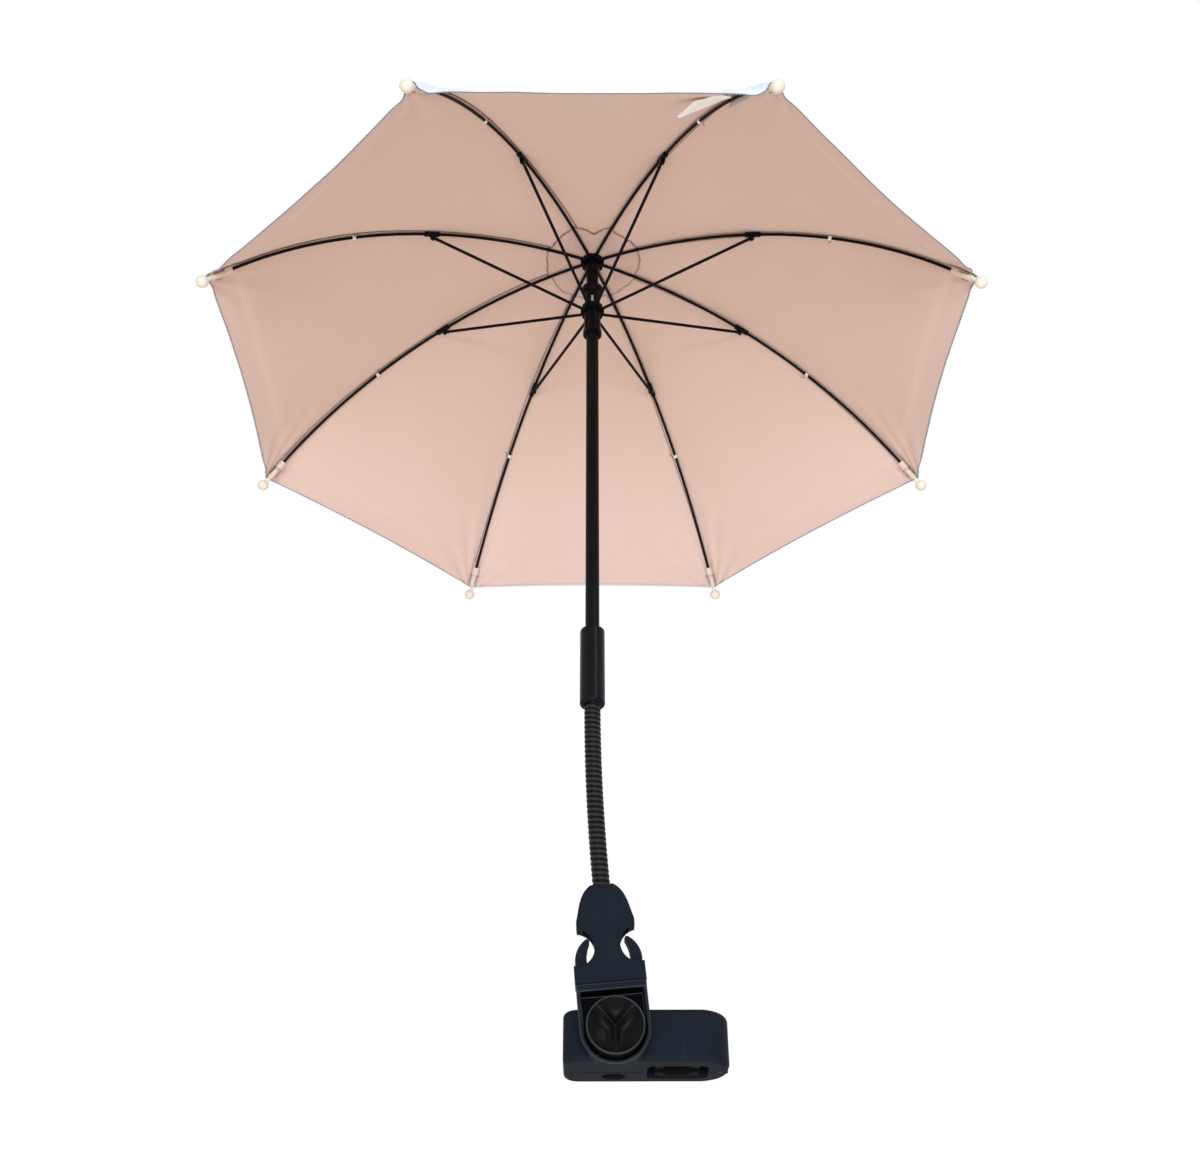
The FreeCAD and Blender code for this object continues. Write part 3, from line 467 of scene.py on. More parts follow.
def set_inputs(tree, node, values):
    """Sets a node's inputs, or links those whose value is an output or a node."""
    for key, value in values.items():
        if isinstance(value, bpy.types.Node):
            value = value.outputs[0]
        if isinstance(value, bpy.types.NodeSocket):
            tree.links.new(value, node.inputs[key])
        else:
            node.inputs[key].default_value = value


def add(tree, kind, values=None, **settings):
    """A new node with its settings and then its inputs."""
    node = tree.nodes.new(kind)
    for name, value in settings.items():
        setattr(node, name, value)
    set_inputs(tree, node, values or {})
    return node


def math_node(tree, operation, *values):
    return add(tree, "ShaderNodeMath", dict(enumerate(values)), operation=operation).outputs[0]


def vector_node(tree, operation, values):
    return add(tree, "ShaderNodeVectorMath", values, operation=operation)


def made_once(store):
    """Names a node group or a material for the function that makes it, and makes it only once."""

    def wrap(make):
        @functools.wraps(make)
        def find_or_make():
            return getattr(bpy.data, store).get(make.__name__) or make(make.__name__)

        return find_or_make

    return wrap


node_group = made_once("node_groups")
finish = made_once("materials")


def group_tree(name, inputs, outputs):
    """A shader node group with float inputs and outputs, and its Vector input first."""
    tree = bpy.data.node_groups.new(name, "ShaderNodeTree")
    tree.interface.new_socket("Vector", in_out="INPUT", socket_type="NodeSocketVector")
    add_sizes(tree, inputs)
    for label in outputs:
        tree.interface.new_socket(label, in_out="OUTPUT", socket_type="NodeSocketFloat")
    return tree, add(tree, "NodeGroupInput").outputs, add(tree, "NodeGroupOutput")


def add_sizes(tree, sizes):
    """Gives a tree its named float inputs."""
    for label, default in sizes.items():
        socket = tree.interface.new_socket(label, in_out="INPUT", socket_type="NodeSocketFloat")
        socket.default_value = default


def noise_node(tree, place, scale, detail=2.0):
    return add(tree, "ShaderNodeTexNoise", {"Vector": place, "Scale": scale, "Detail": detail}).outputs["Fac"]


@node_group
def moulded_grain(name):
    """Moulded or painted skin: a fine grain, a slow mottle and faint scuffs."""
    streak_scale, streak_squeeze, scuff_from, scuff_gain = 420.0, 0.06, 0.62, 6.0
    sizes = {"Grain Scale": 2600.0, "Mottle Scale": 60.0}
    tree, given, made = group_tree(name, sizes, ("Height", "Mottle", "Scuff"))
    place = given["Vector"]
    stretch = add(tree, "ShaderNodeMapping", {"Vector": place, "Scale": (1.0, 1.0, streak_squeeze)})
    streak = noise_node(tree, stretch, streak_scale)
    scuff = math_node(tree, "MULTIPLY", math_node(tree, "SUBTRACT", streak, scuff_from), scuff_gain)
    set_inputs(tree, made, {
        "Height": noise_node(tree, place, given["Grain Scale"], 3.0),
        "Mottle": noise_node(tree, place, given["Mottle Scale"], 4.0),
        "Scuff": math_node(tree, "MINIMUM", math_node(tree, "MAXIMUM", scuff, 0.0), 1.0),
    })
    return tree


@node_group
def plain_weave(name):
    """Plain weave: threads that pass over and under, with uneven yarn."""
    mottle_scale = 11.0
    sizes = {"Threads": 2200.0, "Yarn Scale": 300.0}
    tree, given, made = group_tree(name, sizes, ("Height", "Yarn", "Mottle"))
    place = given["Vector"]
    split = add(tree, "ShaderNodeSeparateXYZ", {0: place}).outputs
    turns = math_node(tree, "MULTIPLY", given["Threads"], math.pi)
    across = math_node(tree, "SINE", math_node(tree, "MULTIPLY", split["X"], turns))
    along = math_node(tree, "SINE", math_node(tree, "MULTIPLY", split["Y"], turns))
    crossed = math_node(tree, "MULTIPLY", across, along)
    set_inputs(tree, made, {
        "Height": math_node(tree, "ADD", math_node(tree, "MULTIPLY", crossed, 0.5), 0.5),
        "Yarn": noise_node(tree, place, given["Yarn Scale"], 3.0),
        "Mottle": noise_node(tree, place, mottle_scale),
    })
    return tree


def shaded(colour, share=1.0):
    return tuple(min(1.0, c * share) for c in colour) + (1.0,)


def mixed_colour(tree, factor, first, second):
    return add(tree, "ShaderNodeMix", {0: factor, 6: first, 7: second}, data_type="RGBA").outputs[2]


def ranged(tree, value, low, high, first=0.0, last=1.0):
    values = {"Value": value, "From Min": first, "From Max": last, "To Min": low, "To Max": high}
    return add(tree, "ShaderNodeMapRange", values).outputs["Result"]


def start_material(name):
    material = bpy.data.materials.new(name)
    material.use_nodes = True
    tree = material.node_tree
    return material, tree, tree.nodes["Principled BSDF"]


def place_group(tree, group, coordinate, **values):
    """A group on a piece's own coordinates, with its sizes."""
    where = add(tree, "ShaderNodeTexCoord").outputs[coordinate]
    sizes = {label.replace("_", " "): value for label, value in values.items()}
    return add(tree, "ShaderNodeGroup", {"Vector": where, **sizes}, node_tree=group).outputs


def bumped(tree, height, distance):
    return add(tree, "ShaderNodeBump", {"Height": height, "Distance": distance})


def moulding(name, colour, rough, specular=0.5, ior=1.45, metallic=0.0, bump=0.00003, scuff=1.9):
    """A moulded, painted or plated finish with grain, mottle and faint scuffs."""
    mottle, spread, wear = 0.2, 0.08, 0.35
    material, tree, shader = start_material(name)
    skin = place_group(tree, moulded_grain(), "Object")
    base = mixed_colour(tree, skin["Mottle"], shaded(colour, 1 - mottle), shaded(colour, 1 + mottle))
    worn = math_node(tree, "MULTIPLY", skin["Scuff"], wear)
    set_inputs(tree, shader, {
        "Base Color": mixed_colour(tree, worn, base, shaded(colour, scuff)),
        "Roughness": ranged(tree, skin["Mottle"], rough - spread, rough + spread),
        "Metallic": metallic,
        "Specular IOR Level": specular,
        "IOR": ior,
        "Normal": bumped(tree, skin["Height"], bump),
    })
    return material


def cloth(name, colour, rough=0.82, specular=0.25, sheen=0.25, threads=2200.0, bump=0.00004):
    """A woven finish on the piece's own cut UV."""
    tint_spread, rough_spread, sheen_rough = 0.05, 0.06, 0.5
    material, tree, shader = start_material(name)
    weave = place_group(tree, plain_weave(), "UV", Threads=threads)
    dark, light = shaded(colour, 1 - tint_spread), shaded(colour, 1 + tint_spread)
    yarn = mixed_colour(tree, weave["Yarn"], dark, light)
    slow = mixed_colour(tree, weave["Mottle"], dark, light)
    set_inputs(tree, shader, {
        "Base Color": mixed_colour(tree, weave["Height"], yarn, slow),
        "Roughness": ranged(tree, weave["Yarn"], rough - rough_spread, rough + rough_spread),
        "Specular IOR Level": specular,
        "Sheen Weight": sheen,
        "Sheen Roughness": sheen_rough,
        "Normal": bumped(tree, weave["Height"], bump),
    })
    return material


def matte_thread(name, colour, scuff):
    return moulding(name, colour, rough=0.8, specular=0.2, bump=0.0001, scuff=scuff)


def cover(material, colour, cover_share):
    """Lays a second colour over a finish, where a function of its tree gives the share."""
    tree = material.node_tree
    base = tree.nodes["Principled BSDF"].inputs["Base Color"]
    under = base.links[0].from_socket
    tree.links.new(mixed_colour(tree, cover_share(tree), under, shaded(colour)), base)
    return material


@finish
def canopy_lining(name):
    return cloth(name, canopy().lining_colour)


@finish
def canopy_outside(name):
    return cloth(name, canopy().outside_colour, rough=0.5, specular=0.4, sheen=0.1)


@finish
def patch_cloth(name):
    return cloth(name, canopy().patch_colour)


@finish
def strap_webbing(name):
    return cloth(name, canopy().strap_colour, threads=1100.0, bump=0.0001)


@finish
def hem_thread(name):
    return matte_thread(name, canopy().hem_colour, scuff=1.5)


@finish
def seam_thread(name):
    return matte_thread(name, canopy().seam_colour, scuff=1.4)


@finish
def picot_thread(name):
    return matte_thread(name, canopy().picot_colour, scuff=1.2)


@finish
def pale_thread(name):
    return matte_thread(name, canopy().strap_colour, scuff=1.1)


@finish
def pocket_thread(name):
    return matte_thread(name, fittings().pocket_colour, scuff=0.8)


@finish
def matte_moulding(name):
    return moulding(name, fittings().moulded_colour, rough=0.48, ior=1.07)


# Painted shade: a darker, duller black laid on the recess behind the knob
@finish
def shaded_moulding(name):
    return moulding(name, fittings().knob_colour, rough=0.6, ior=1.05)


# Glossier edges that catch the lamps, in a lighter black that is a painted highlight
@finish
def polished_edge(name):
    return moulding(name, fittings().edge_colour, rough=0.32, ior=1.3, bump=0.00002)


@finish
def satin_moulding(name):
    return moulding(name, fittings().knob_colour, rough=0.28, ior=1.14, bump=0.00001)


@finish
def gloss_moulding(name):
    return moulding(name, fittings().paint_colour, rough=0.26, ior=1.18, bump=0.00001)


@finish
def black_paint(name):
    return moulding(name, fittings().paint_colour, rough=0.34, ior=1.16, bump=0.00002)


@finish
def neck_coating(name):
    """Black coating, with a grey painted highlight on the tops of the rings."""
    highlight_from, highlight_to = 0.5, 0.95

    # The ring tops, where the grey highlight is painted
    def tops(tree):
        ridge = add(tree, "ShaderNodeAttribute", attribute_name="ridge").outputs["Fac"]
        return ranged(tree, ridge, 0.0, 1.0, first=highlight_from, last=highlight_to)

    coating = moulding(name, fittings().paint_colour, rough=0.34, ior=1.14, bump=0.00002)
    return cover(coating, fittings().ring_colour, tops)


@finish
def ivory_moulding(name):
    return moulding(name, fittings().ivory_colour, rough=0.34, specular=0.45, bump=0.00001, scuff=1.05)


@finish
def sheathed_ivory(name):
    """Ivory at a tip's ball, and tan where the cloth's pocket covers the tip, by distance from the pole."""
    mouth_blur = 0.0006
    out = tip_ball(1)[0] - crown
    mouth = math.hypot(out.x, out.y) - fittings().tip_pocket_back * math.cos(canopy().rib_end_angle)

    def pocket(tree):
        where = add(tree, "ShaderNodeTexCoord").outputs["Object"]
        to_pole = (-crown.x, -crown.y, 0.0)
        level = vector_node(tree, "MULTIPLY_ADD", {0: where, 1: (1.0, 1.0, 0.0), 2: to_pole})
        away = vector_node(tree, "LENGTH", {0: level}).outputs["Value"]
        return ranged(tree, away, 1.0, 0.0, first=mouth - mouth_blur, last=mouth + mouth_blur)

    tip = moulding(name, fittings().ivory_colour, rough=0.40, specular=0.4, bump=0.00001, scuff=1.05)
    return cover(tip, fittings().pocket_colour, pocket)


@finish
def plated_steel(name):
    return moulding(name, fittings().steel_colour, rough=0.32, metallic=1.0, scuff=0.8)


@finish
def ribbed_rubber(name):
    return moulding(name, fittings().rubber_colour, rough=0.75, ior=1.1, bump=0.00008)


# Geometry Nodes trees


def geometry_tree(name, sizes, materials=("Material",)):
    """A geometry tree with a Geometry input, its sizes and materials, and a Geometry output."""
    tree = bpy.data.node_groups.new(name, "GeometryNodeTree")
    tree.interface.new_socket("Geometry", in_out="INPUT", socket_type="NodeSocketGeometry")
    add_sizes(tree, sizes)
    for label in materials:
        tree.interface.new_socket(label, in_out="INPUT", socket_type="NodeSocketMaterial")
    tree.interface.new_socket("Geometry", in_out="OUTPUT", socket_type="NodeSocketGeometry")
    return tree, add(tree, "NodeGroupInput").outputs, add(tree, "NodeGroupOutput")


def finish_tree(tree, geometry, given, made):
    """Ends a tree in Realize Instances, smooth shading and Set Material."""
    real = add(tree, "GeometryNodeRealizeInstances", {0: geometry})
    shade = add(tree, "GeometryNodeSetShadeSmooth", {0: real})
    dress = add(tree, "GeometryNodeSetMaterial", {"Geometry": shade, "Material": given["Material"]})
    set_inputs(tree, made, {0: dress})
    return dress


def line_of(tree, given):
    """The input mesh's edges as curves."""
    return add(tree, "GeometryNodeMeshToCurve", {"Mesh": given["Geometry"]})


def resampled(tree, curve, step):
    return add(tree, "GeometryNodeResampleCurve", {"Curve": curve, "Length": step}, mode="LENGTH")


def circle(tree, radius, corners):
    return add(tree, "GeometryNodeCurvePrimitiveCircle", {"Radius": radius, "Resolution": corners})


def swept(tree, curve, profile):
    """A thread or a tube: a profile carried along a curve."""
    return add(tree, "GeometryNodeCurveToMesh", {"Curve": curve, "Profile Curve": profile, "Fill Caps": True})


def named(tree, label, kind):
    """An attribute of the input, by name."""
    return add(tree, "GeometryNodeInputNamedAttribute", {"Name": label}, data_type=kind)


def stored(tree, geometry, label, value, kind, domain):
    """Geometry that carries a named attribute on."""
    values = {"Geometry": geometry, "Name": label, "Value": value}
    return add(tree, "GeometryNodeStoreNamedAttribute", values, data_type=kind, domain=domain)


def captured(tree, geometry, **fields):
    """Keeps fields of a curve's points for the mesh that is made along it."""
    node = add(tree, "GeometryNodeCaptureAttribute", {"Geometry": geometry})
    for label, (kind, value) in fields.items():
        node.capture_items.new(kind, label)
        set_inputs(tree, node, {label: value})
    return node.outputs


def aimed(tree, values, **axes):
    """A rotation that points an axis along a vector."""
    return add(tree, "FunctionNodeAlignRotationToVector", values, **axes)


def spread_on(tree, points, shape, rotation):
    """A shape on each point, turned by a rotation."""
    values = {"Points": points, "Instance": shape, "Rotation": rotation}
    return add(tree, "GeometryNodeInstanceOnPoints", values)


@node_group
def edge_thread(name):
    """A core thread along an edge, with overlock loops round it. The edge carries a side vector."""
    core_corners, loop_corners, thread_corners, loop_slant = 8, 10, 4, math.radians(24)
    tree, given, made = geometry_tree(name, {
        "Core Radius": 0.0005,
        "Thread Radius": 0.0003,
        "Loop Length": 0.0014,
        "Loop Height": 0.0006,
        "Spacing": 0.0025,
    }, ("Material", "Loop Material"))
    curve = line_of(tree, given)
    core = swept(tree, curve, circle(tree, given["Core Radius"], core_corners))
    size = add(tree, "ShaderNodeCombineXYZ", {"X": given["Loop Length"], "Y": given["Loop Height"], "Z": 1.0})
    ring = add(tree, "GeometryNodeTransform", {"Geometry": circle(tree, 1.0, loop_corners), "Scale": size})
    loop = swept(tree, ring, circle(tree, given["Thread Radius"], thread_corners))
    aim = aimed(tree, {"Vector": add(tree, "GeometryNodeInputTangent")}, axis="Z")
    side = named(tree, "side", "FLOAT_VECTOR")
    turn = aimed(tree, {"Rotation": aim, "Vector": side}, axis="X", pivot_axis="Z")
    lean = add(tree, "FunctionNodeEulerToRotation", {0: (0.0, loop_slant, 0.0)})
    turned = {"Rotation": turn, "Rotate By": lean}
    slant = add(tree, "FunctionNodeRotateRotation", turned, rotation_space="LOCAL")
    points = resampled(tree, curve, given["Spacing"])
    marked = stored(tree, spread_on(tree, points, loop, slant), "loop", True, "BOOLEAN", "INSTANCE")
    both = add(tree, "GeometryNodeJoinGeometry", {0: core})
    set_inputs(tree, both, {0: marked})
    dressed = finish_tree(tree, both, given, made)
    loops = add(tree, "GeometryNodeSetMaterial", {
        "Geometry": dressed,
        "Selection": named(tree, "loop", "BOOLEAN"),
        "Material": given["Loop Material"],
    })
    set_inputs(tree, made, {0: loops})
    return tree


@node_group
def plain_thread(name):
    """A thread along each line of the input mesh."""
    corners = 6
    tree, given, made = geometry_tree(name, {"Radius": 0.0003})
    thread = swept(tree, line_of(tree, given), circle(tree, given["Radius"], corners))
    finish_tree(tree, thread, given, made)
    return tree


@node_group
def wound_thread(name):
    """A few turns of thread round each point, about the point's along vector."""
    corners, points_per_turn = 6, 20
    tree, given, made = geometry_tree(name, {
        "Radius": 0.0022,
        "Turns": 3.0,
        "Height": 0.0018,
        "Thread Radius": 0.0004,
    })
    coil = add(tree, "GeometryNodeCurveSpiral", {
        "Resolution": points_per_turn,
        "Rotations": given["Turns"],
        "Start Radius": given["Radius"],
        "End Radius": given["Radius"],
        "Height": given["Height"],
    })
    thread = swept(tree, coil, circle(tree, given["Thread Radius"], corners))
    aim = aimed(tree, {"Vector": named(tree, "along", "FLOAT_VECTOR")}, axis="Z")
    finish_tree(tree, spread_on(tree, given["Geometry"], thread, aim), given, made)
    return tree


@node_group
def ringed_tube(name):
    """A tube along a line of points, with a wound ridge: rings that climb by one step a turn."""
    corners, samples_per_ring, ridge_fullness = 40, 8.0, 0.6
    tree, given, made = geometry_tree(name, {"Radius": 0.006, "Depth": 0.0008, "Pitch": 0.0027, "Start": 0.0})
    fine = resampled(tree, line_of(tree, given), math_node(tree, "DIVIDE", given["Pitch"], samples_per_ring))
    here = add(tree, "GeometryNodeInputPosition")
    place = add(tree, "GeometryNodeSplineParameter").outputs
    line = captured(tree, fine, run=("FLOAT", place["Length"]), middle=("VECTOR", here))
    profile = captured(tree, circle(tree, given["Radius"], corners), round=("FLOAT", place["Factor"]))
    tube = swept(tree, line["Geometry"], profile["Geometry"])
    wound = math_node(tree, "DIVIDE", math_node(tree, "ADD", line["run"], given["Start"]), given["Pitch"])
    phase = math_node(tree, "MULTIPLY", math_node(tree, "ADD", wound, profile["round"]), math.pi)
    ridge = math_node(tree, "ABSOLUTE", math_node(tree, "SINE", phase))
    fall = math_node(tree, "SUBTRACT", math_node(tree, "POWER", ridge, ridge_fullness), 1.0)
    groove = math_node(tree, "MULTIPLY", fall, given["Depth"])
    spoke = vector_node(tree, "NORMALIZE", {0: vector_node(tree, "SUBTRACT", {0: here, 1: line["middle"]})})
    push = vector_node(tree, "SCALE", {0: spoke, "Scale": groove})
    # The ridge share is kept for the painted highlight on the ring tops
    marked = stored(tree, tube, "ridge", ridge, "FLOAT", "POINT")
    shape = add(tree, "GeometryNodeSetPosition", {"Geometry": marked, "Offset": push})
    finish_tree(tree, shape, given, made)
    return tree


def evaluated_mesh(piece):
    """A plain mesh of a piece with its modifiers applied."""
    graph = bpy.context.evaluated_depsgraph_get()
    return bpy.data.meshes.new_from_object(piece.evaluated_get(graph))


def grown(name, mesh, tree, **values):
    """A plain mesh piece from a geometry tree on a small input mesh."""
    seed = make_object(f"{name}_seed", mesh)
    modifier = seed.modifiers.new("nodes", "NODES")
    modifier.node_group = tree
    ids = {item.name: item.identifier for item in tree.interface.items_tree if item.in_out == "INPUT"}
    for label, value in values.items():
        modifier[ids[label.replace("_", " ")]] = value
    made = evaluated_mesh(seed)
    made.name = name
    bpy.data.objects.remove(seed)
    return make_object(name, made)


def line_mesh(name, points, **vectors):
    """A mesh line, with named vectors on its points."""
    mesh = bpy.data.meshes.new(name)
    mesh.from_pydata([tuple(p) for p in points], [(i, i + 1) for i in range(len(points) - 1)], [])
    for label, values in vectors.items():
        layer = mesh.attributes.new(label, "FLOAT_VECTOR", "POINT")
        layer.data.foreach_set("vector", [c for value in values for c in value])
    return mesh


def softened(node, material, inner=None):
    """Stands for a moulded CAD node: its own shape, with rounded, glossier edges in a lighter black as a
    painted highlight, and painted shade on the faces that the inner test picks.
    """
    source = frame["nodes"][node]
    mesh = source.data.copy()
    bm = bmesh.new()
    bm.from_mesh(mesh)
    bmesh.ops.remove_doubles(bm, verts=bm.verts, dist=merge_distance)
    bmesh.ops.dissolve_limit(bm, angle_limit=flat_angle, verts=bm.verts, edges=bm.edges)
    bm.normal_update()
    for face in bm.faces:
        face.smooth = True
        # Faces that the inner test picks get the darker painted shade (material 2)
        face.material_index = 2 if inner and inner(face) else 0
    mesh.materials.clear()
    for used in (material, polished_edge(), shaded_moulding()):
        mesh.materials.append(used)
    bm.to_mesh(mesh)
    bm.free()
    body = body_of(source)[0]
    piece = make_object(f"{node}_shell", mesh)
    bevel = piece.modifiers.new("round", "BEVEL")
    bevel.width = fittings().edge_round
    bevel.segments = 3
    bevel.limit_method = "ANGLE"
    bevel.angle_limit = sharp_angle
    # Bevelled edges take the glossier edge finish, whose lighter black is a painted highlight
    bevel.material = 1
    weighted = piece.modifiers.new("even", "WEIGHTED_NORMAL")
    weighted.weight = 100
    rounded = evaluated_mesh(piece)
    piece.modifiers.clear()
    piece.data = rounded
    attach(piece, body)
    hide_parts(node)
    return piece


def in_recess(face):
    """Whether a face of the buckle's plug lies in the recess behind the knob, which gets painted shade."""
    facing_front, facing_side = 0.9, 0.5
    place = face.calc_center_median()
    deep = place.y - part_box("buckle_plug")[0].y
    if face.normal.y < -facing_front:
        return deep > recess_floor
    out = place - Vector(joints["knob_turn"]["pos_m"])
    inwards = out.x * face.normal.x + out.z * face.normal.z < 0
    is_wall = abs(face.normal.y) < facing_side and recess_wall[0] < deep < recess_wall[1]
    return is_wall and inwards and out.length < recess_reach


def paint(material, *nodes):
    """Gives CAD nodes their finish."""
    for node in nodes:
        shown = frame["nodes"][node]
        shown.data.materials.clear()
        shown.data.materials.append(material)


class PARASOL_OT_cloth(bpy.types.Operator):
    """Makes the eight canopy panels, beige inside and pale outside"""

    bl_idname = "parasol.cloth"
    bl_label = "Canopy cloth"

    def execute(self, context):
        thickness = canopy().cloth_thickness
        steps = 40
        length = path_length([taut_point(1, 0.5, k / steps) for k in range(steps + 1)])
        width = (cloth_point(1, 0, 1) - cloth_point(1, 1, 1)).length
        for n in rib_numbers:
            panel = thin_sheet(
                f"cloth_panel_{n}",
                lambda u, v: cloth_point(n, across_even(u), down_even(v)),
                lambda u, v: cloth_point(n, across_even(u), down_even(v), lift=thickness),
                panel_columns, panel_rows, (canopy_lining(), canopy_outside()),
            )
            follow_cloth(panel, n)
            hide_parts(f"canopy_panel_{n}")
            flat_area(1)
        return {"FINISHED"}


class PARASOL_OT_crown_patch(bpy.types.Operator):
    """Makes the round patch with a pinked edge that lies between the ribs and the cloth"""

    bl_idname = "parasol.crown_patch"
    bl_label = "Crown patch"

    # The pinked edge's teeth on each panel, their depth, and the mesh that carries them
    teeth, tooth_depth, tooth_row = 15, 0.03, 0.7
    tooth_columns, patch_rows = 4, 16
    # How far the edge wavers and flutters, with the waves across a panel and the shift from panel to panel
    waver, waver_waves, waver_shift = 0.03, 5, 2.1
    flutter, flutter_waves, flutter_shift, flutter_row, free_of_rib = 0.0006, 9, 1.7, 0.5, 8
    # The panel where the edge is turned up, with the fold's place, width, draw, height and first row
    fold_panel, fold_at, fold_width = 1, 0.55, 0.17
    fold_draw, fold_height, fold_row = 0.15, 0.0010, 0.25

    def execute(self, context):
        thread_layer, edge_steps = 1.5, 60
        for n in rib_numbers:
            piece = thin_sheet(
                f"crown_patch_{n}",
                lambda u, v: self.patch_point(n, u, v, under_face),
                lambda u, v: self.patch_point(n, u, v, under_back),
                self.teeth * self.tooth_columns, self.patch_rows, (patch_cloth(), patch_cloth()),
            )
            edge = [self.patch_point(n, k / edge_steps, 1, thread_layer) for k in range(edge_steps + 1)]
            sides = [(p - crown).normalized() for p in edge]
            thread = grown(
                f"patch_thread_{n}", line_mesh("patch", edge, side=sides), edge_thread(), Core_Radius=0.00008,
                Thread_Radius=0.0002, Loop_Length=0.0010, Loop_Height=0.0005, Spacing=0.0029,
                Material=seam_thread(), Loop_Material=seam_thread(),
            )
            follow_cloth(thread, n)
            follow_cloth(piece, n)
        return {"FINISHED"}

    def patch_point(self, n, u, v, layer):
        """A point of the patch under panel n, a few cloth thicknesses down."""
        sizes = canopy()
        reach = sizes.rib_arc * (hem_angle() - math.asin(sizes.crown_hole / sizes.rib_arc))
        tooth = abs((u * self.teeth) % 1 - 0.5) * 2 * smooth((v - self.tooth_row) / (1 - self.tooth_row))
        waver = self.waver * math.sin(u * self.waver_waves + n * self.waver_shift)
        edge = (sizes.patch_radius - sizes.crown_hole) / reach * (1 + self.tooth_depth * tooth + waver)
        edge /= math.sqrt(1 - 4 * u * (1 - u) * math.sin(rib_step / 2) ** 2)
        flutter = self.flutter * math.sin(u * self.flutter_waves + n * self.flutter_shift)
        flutter *= smooth((v - self.flutter_row) / (1 - self.flutter_row))
        flutter *= smooth(min(u, 1 - u) * self.free_of_rib)
        fold = 0.0
        if n == self.fold_panel:
            fold = math.exp(-(((u - self.fold_at) / self.fold_width) ** 2))
            edge *= 1 - self.fold_draw * fold
            fold *= self.fold_height * smooth((v - self.fold_row) / (1 - self.fold_row))
        return cloth_point(n, u, v * edge, lift=-sizes.cloth_thickness * layer - abs(flutter) - fold)


class PARASOL_OT_edge_threads(bpy.types.Operator):
    """Sews the overlocked hem and the seams beside the ribs"""

    bl_idname = "parasol.edge_threads"
    bl_label = "Hem and seams"

    hem_steps, seam_steps, length_steps = 120, 160, 40
    # A row just inside the hem, which gives the thread's side
    hem_row = 0.985
    # The seam allowance's first row and run, how its width varies, and the thread's layer under the cloth
    seam_row, seam_run = 0.11, 0.82
    seam_waver, seam_waves, seam_shift = 0.35, 8, 1.9
    thread_layer = 1.6
    seam_columns, seam_rows, least_flat_width = 4, 80, 0.01

    def execute(self, context):
        half = canopy().cloth_thickness / 2
        for n in rib_numbers:
            rim, sides = [], []
            for k in range(self.hem_steps + 1):
                u = across_even(k / self.hem_steps)
                point = cloth_point(n, u, 1, lift=half)
                rim.append(point)
                sides.append((point - cloth_point(n, u, self.hem_row, lift=half)).normalized())
            pale = n == pale_hem_panel
            hem = grown(
                f"hem_{n}", line_mesh("hem", rim, side=sides), edge_thread(),
                Core_Radius=0.0002 if pale else 0.0004, Thread_Radius=0.00034 if pale else 0.00022,
                Loop_Length=0.0016 if pale else 0.0012, Loop_Height=0.0005, Spacing=0.0023,
                Material=picot_thread() if pale else hem_thread(), Loop_Material=picot_thread(),
            )
            follow_cloth(hem, n)
            self.sew_seam(n)
        return {"FINISHED"}

    def allowance(self, n, u, v, layer):
        """A point of the seam allowance beside rib n, a few cloth thicknesses down."""
        row = self.seam_row + self.seam_run * v
        chord = (taut_point(n, 0, row) - taut_point(n, 1, row)).length
        varied = 1 + self.seam_waver * math.sin(v * self.seam_waves + n * self.seam_shift)
        inset = canopy().seam_offset * u * varied / chord
        return cloth_point(n, inset, row, lift=-canopy().cloth_thickness * layer)

    def sew_seam(self, n):
        """The folded seam allowance beside rib n, with its thread."""
        strip = thin_sheet(
            f"seam_{n}",
            lambda u, v: self.allowance(n, u, v, under_face),
            lambda u, v: self.allowance(n, u, v, under_back),
            self.seam_columns, self.seam_rows, (canopy_lining(), canopy_lining()),
        )
        follow_cloth(strip, n)
        steps = self.length_steps
        length = path_length([self.allowance(n, 0.5, k / steps, under_back) for k in range(steps + 1)])
        rows = [k / self.seam_steps for k in range(self.seam_steps + 1)]
        edge = [self.allowance(n, 1, v, self.thread_layer) for v in rows]
        sides = [(p - self.allowance(n, 0, v, self.thread_layer)).normalized() for p, v in zip(edge, rows)]
        thread = grown(
            f"seam_thread_{n}", line_mesh("seam", edge, side=sides), edge_thread(), Core_Radius=0.00025,
            Thread_Radius=0.0002, Loop_Length=0.0007, Loop_Height=0.0004, Spacing=0.0026,
            Material=seam_thread(), Loop_Material=seam_thread(),
        )
        follow_cloth(thread, n)


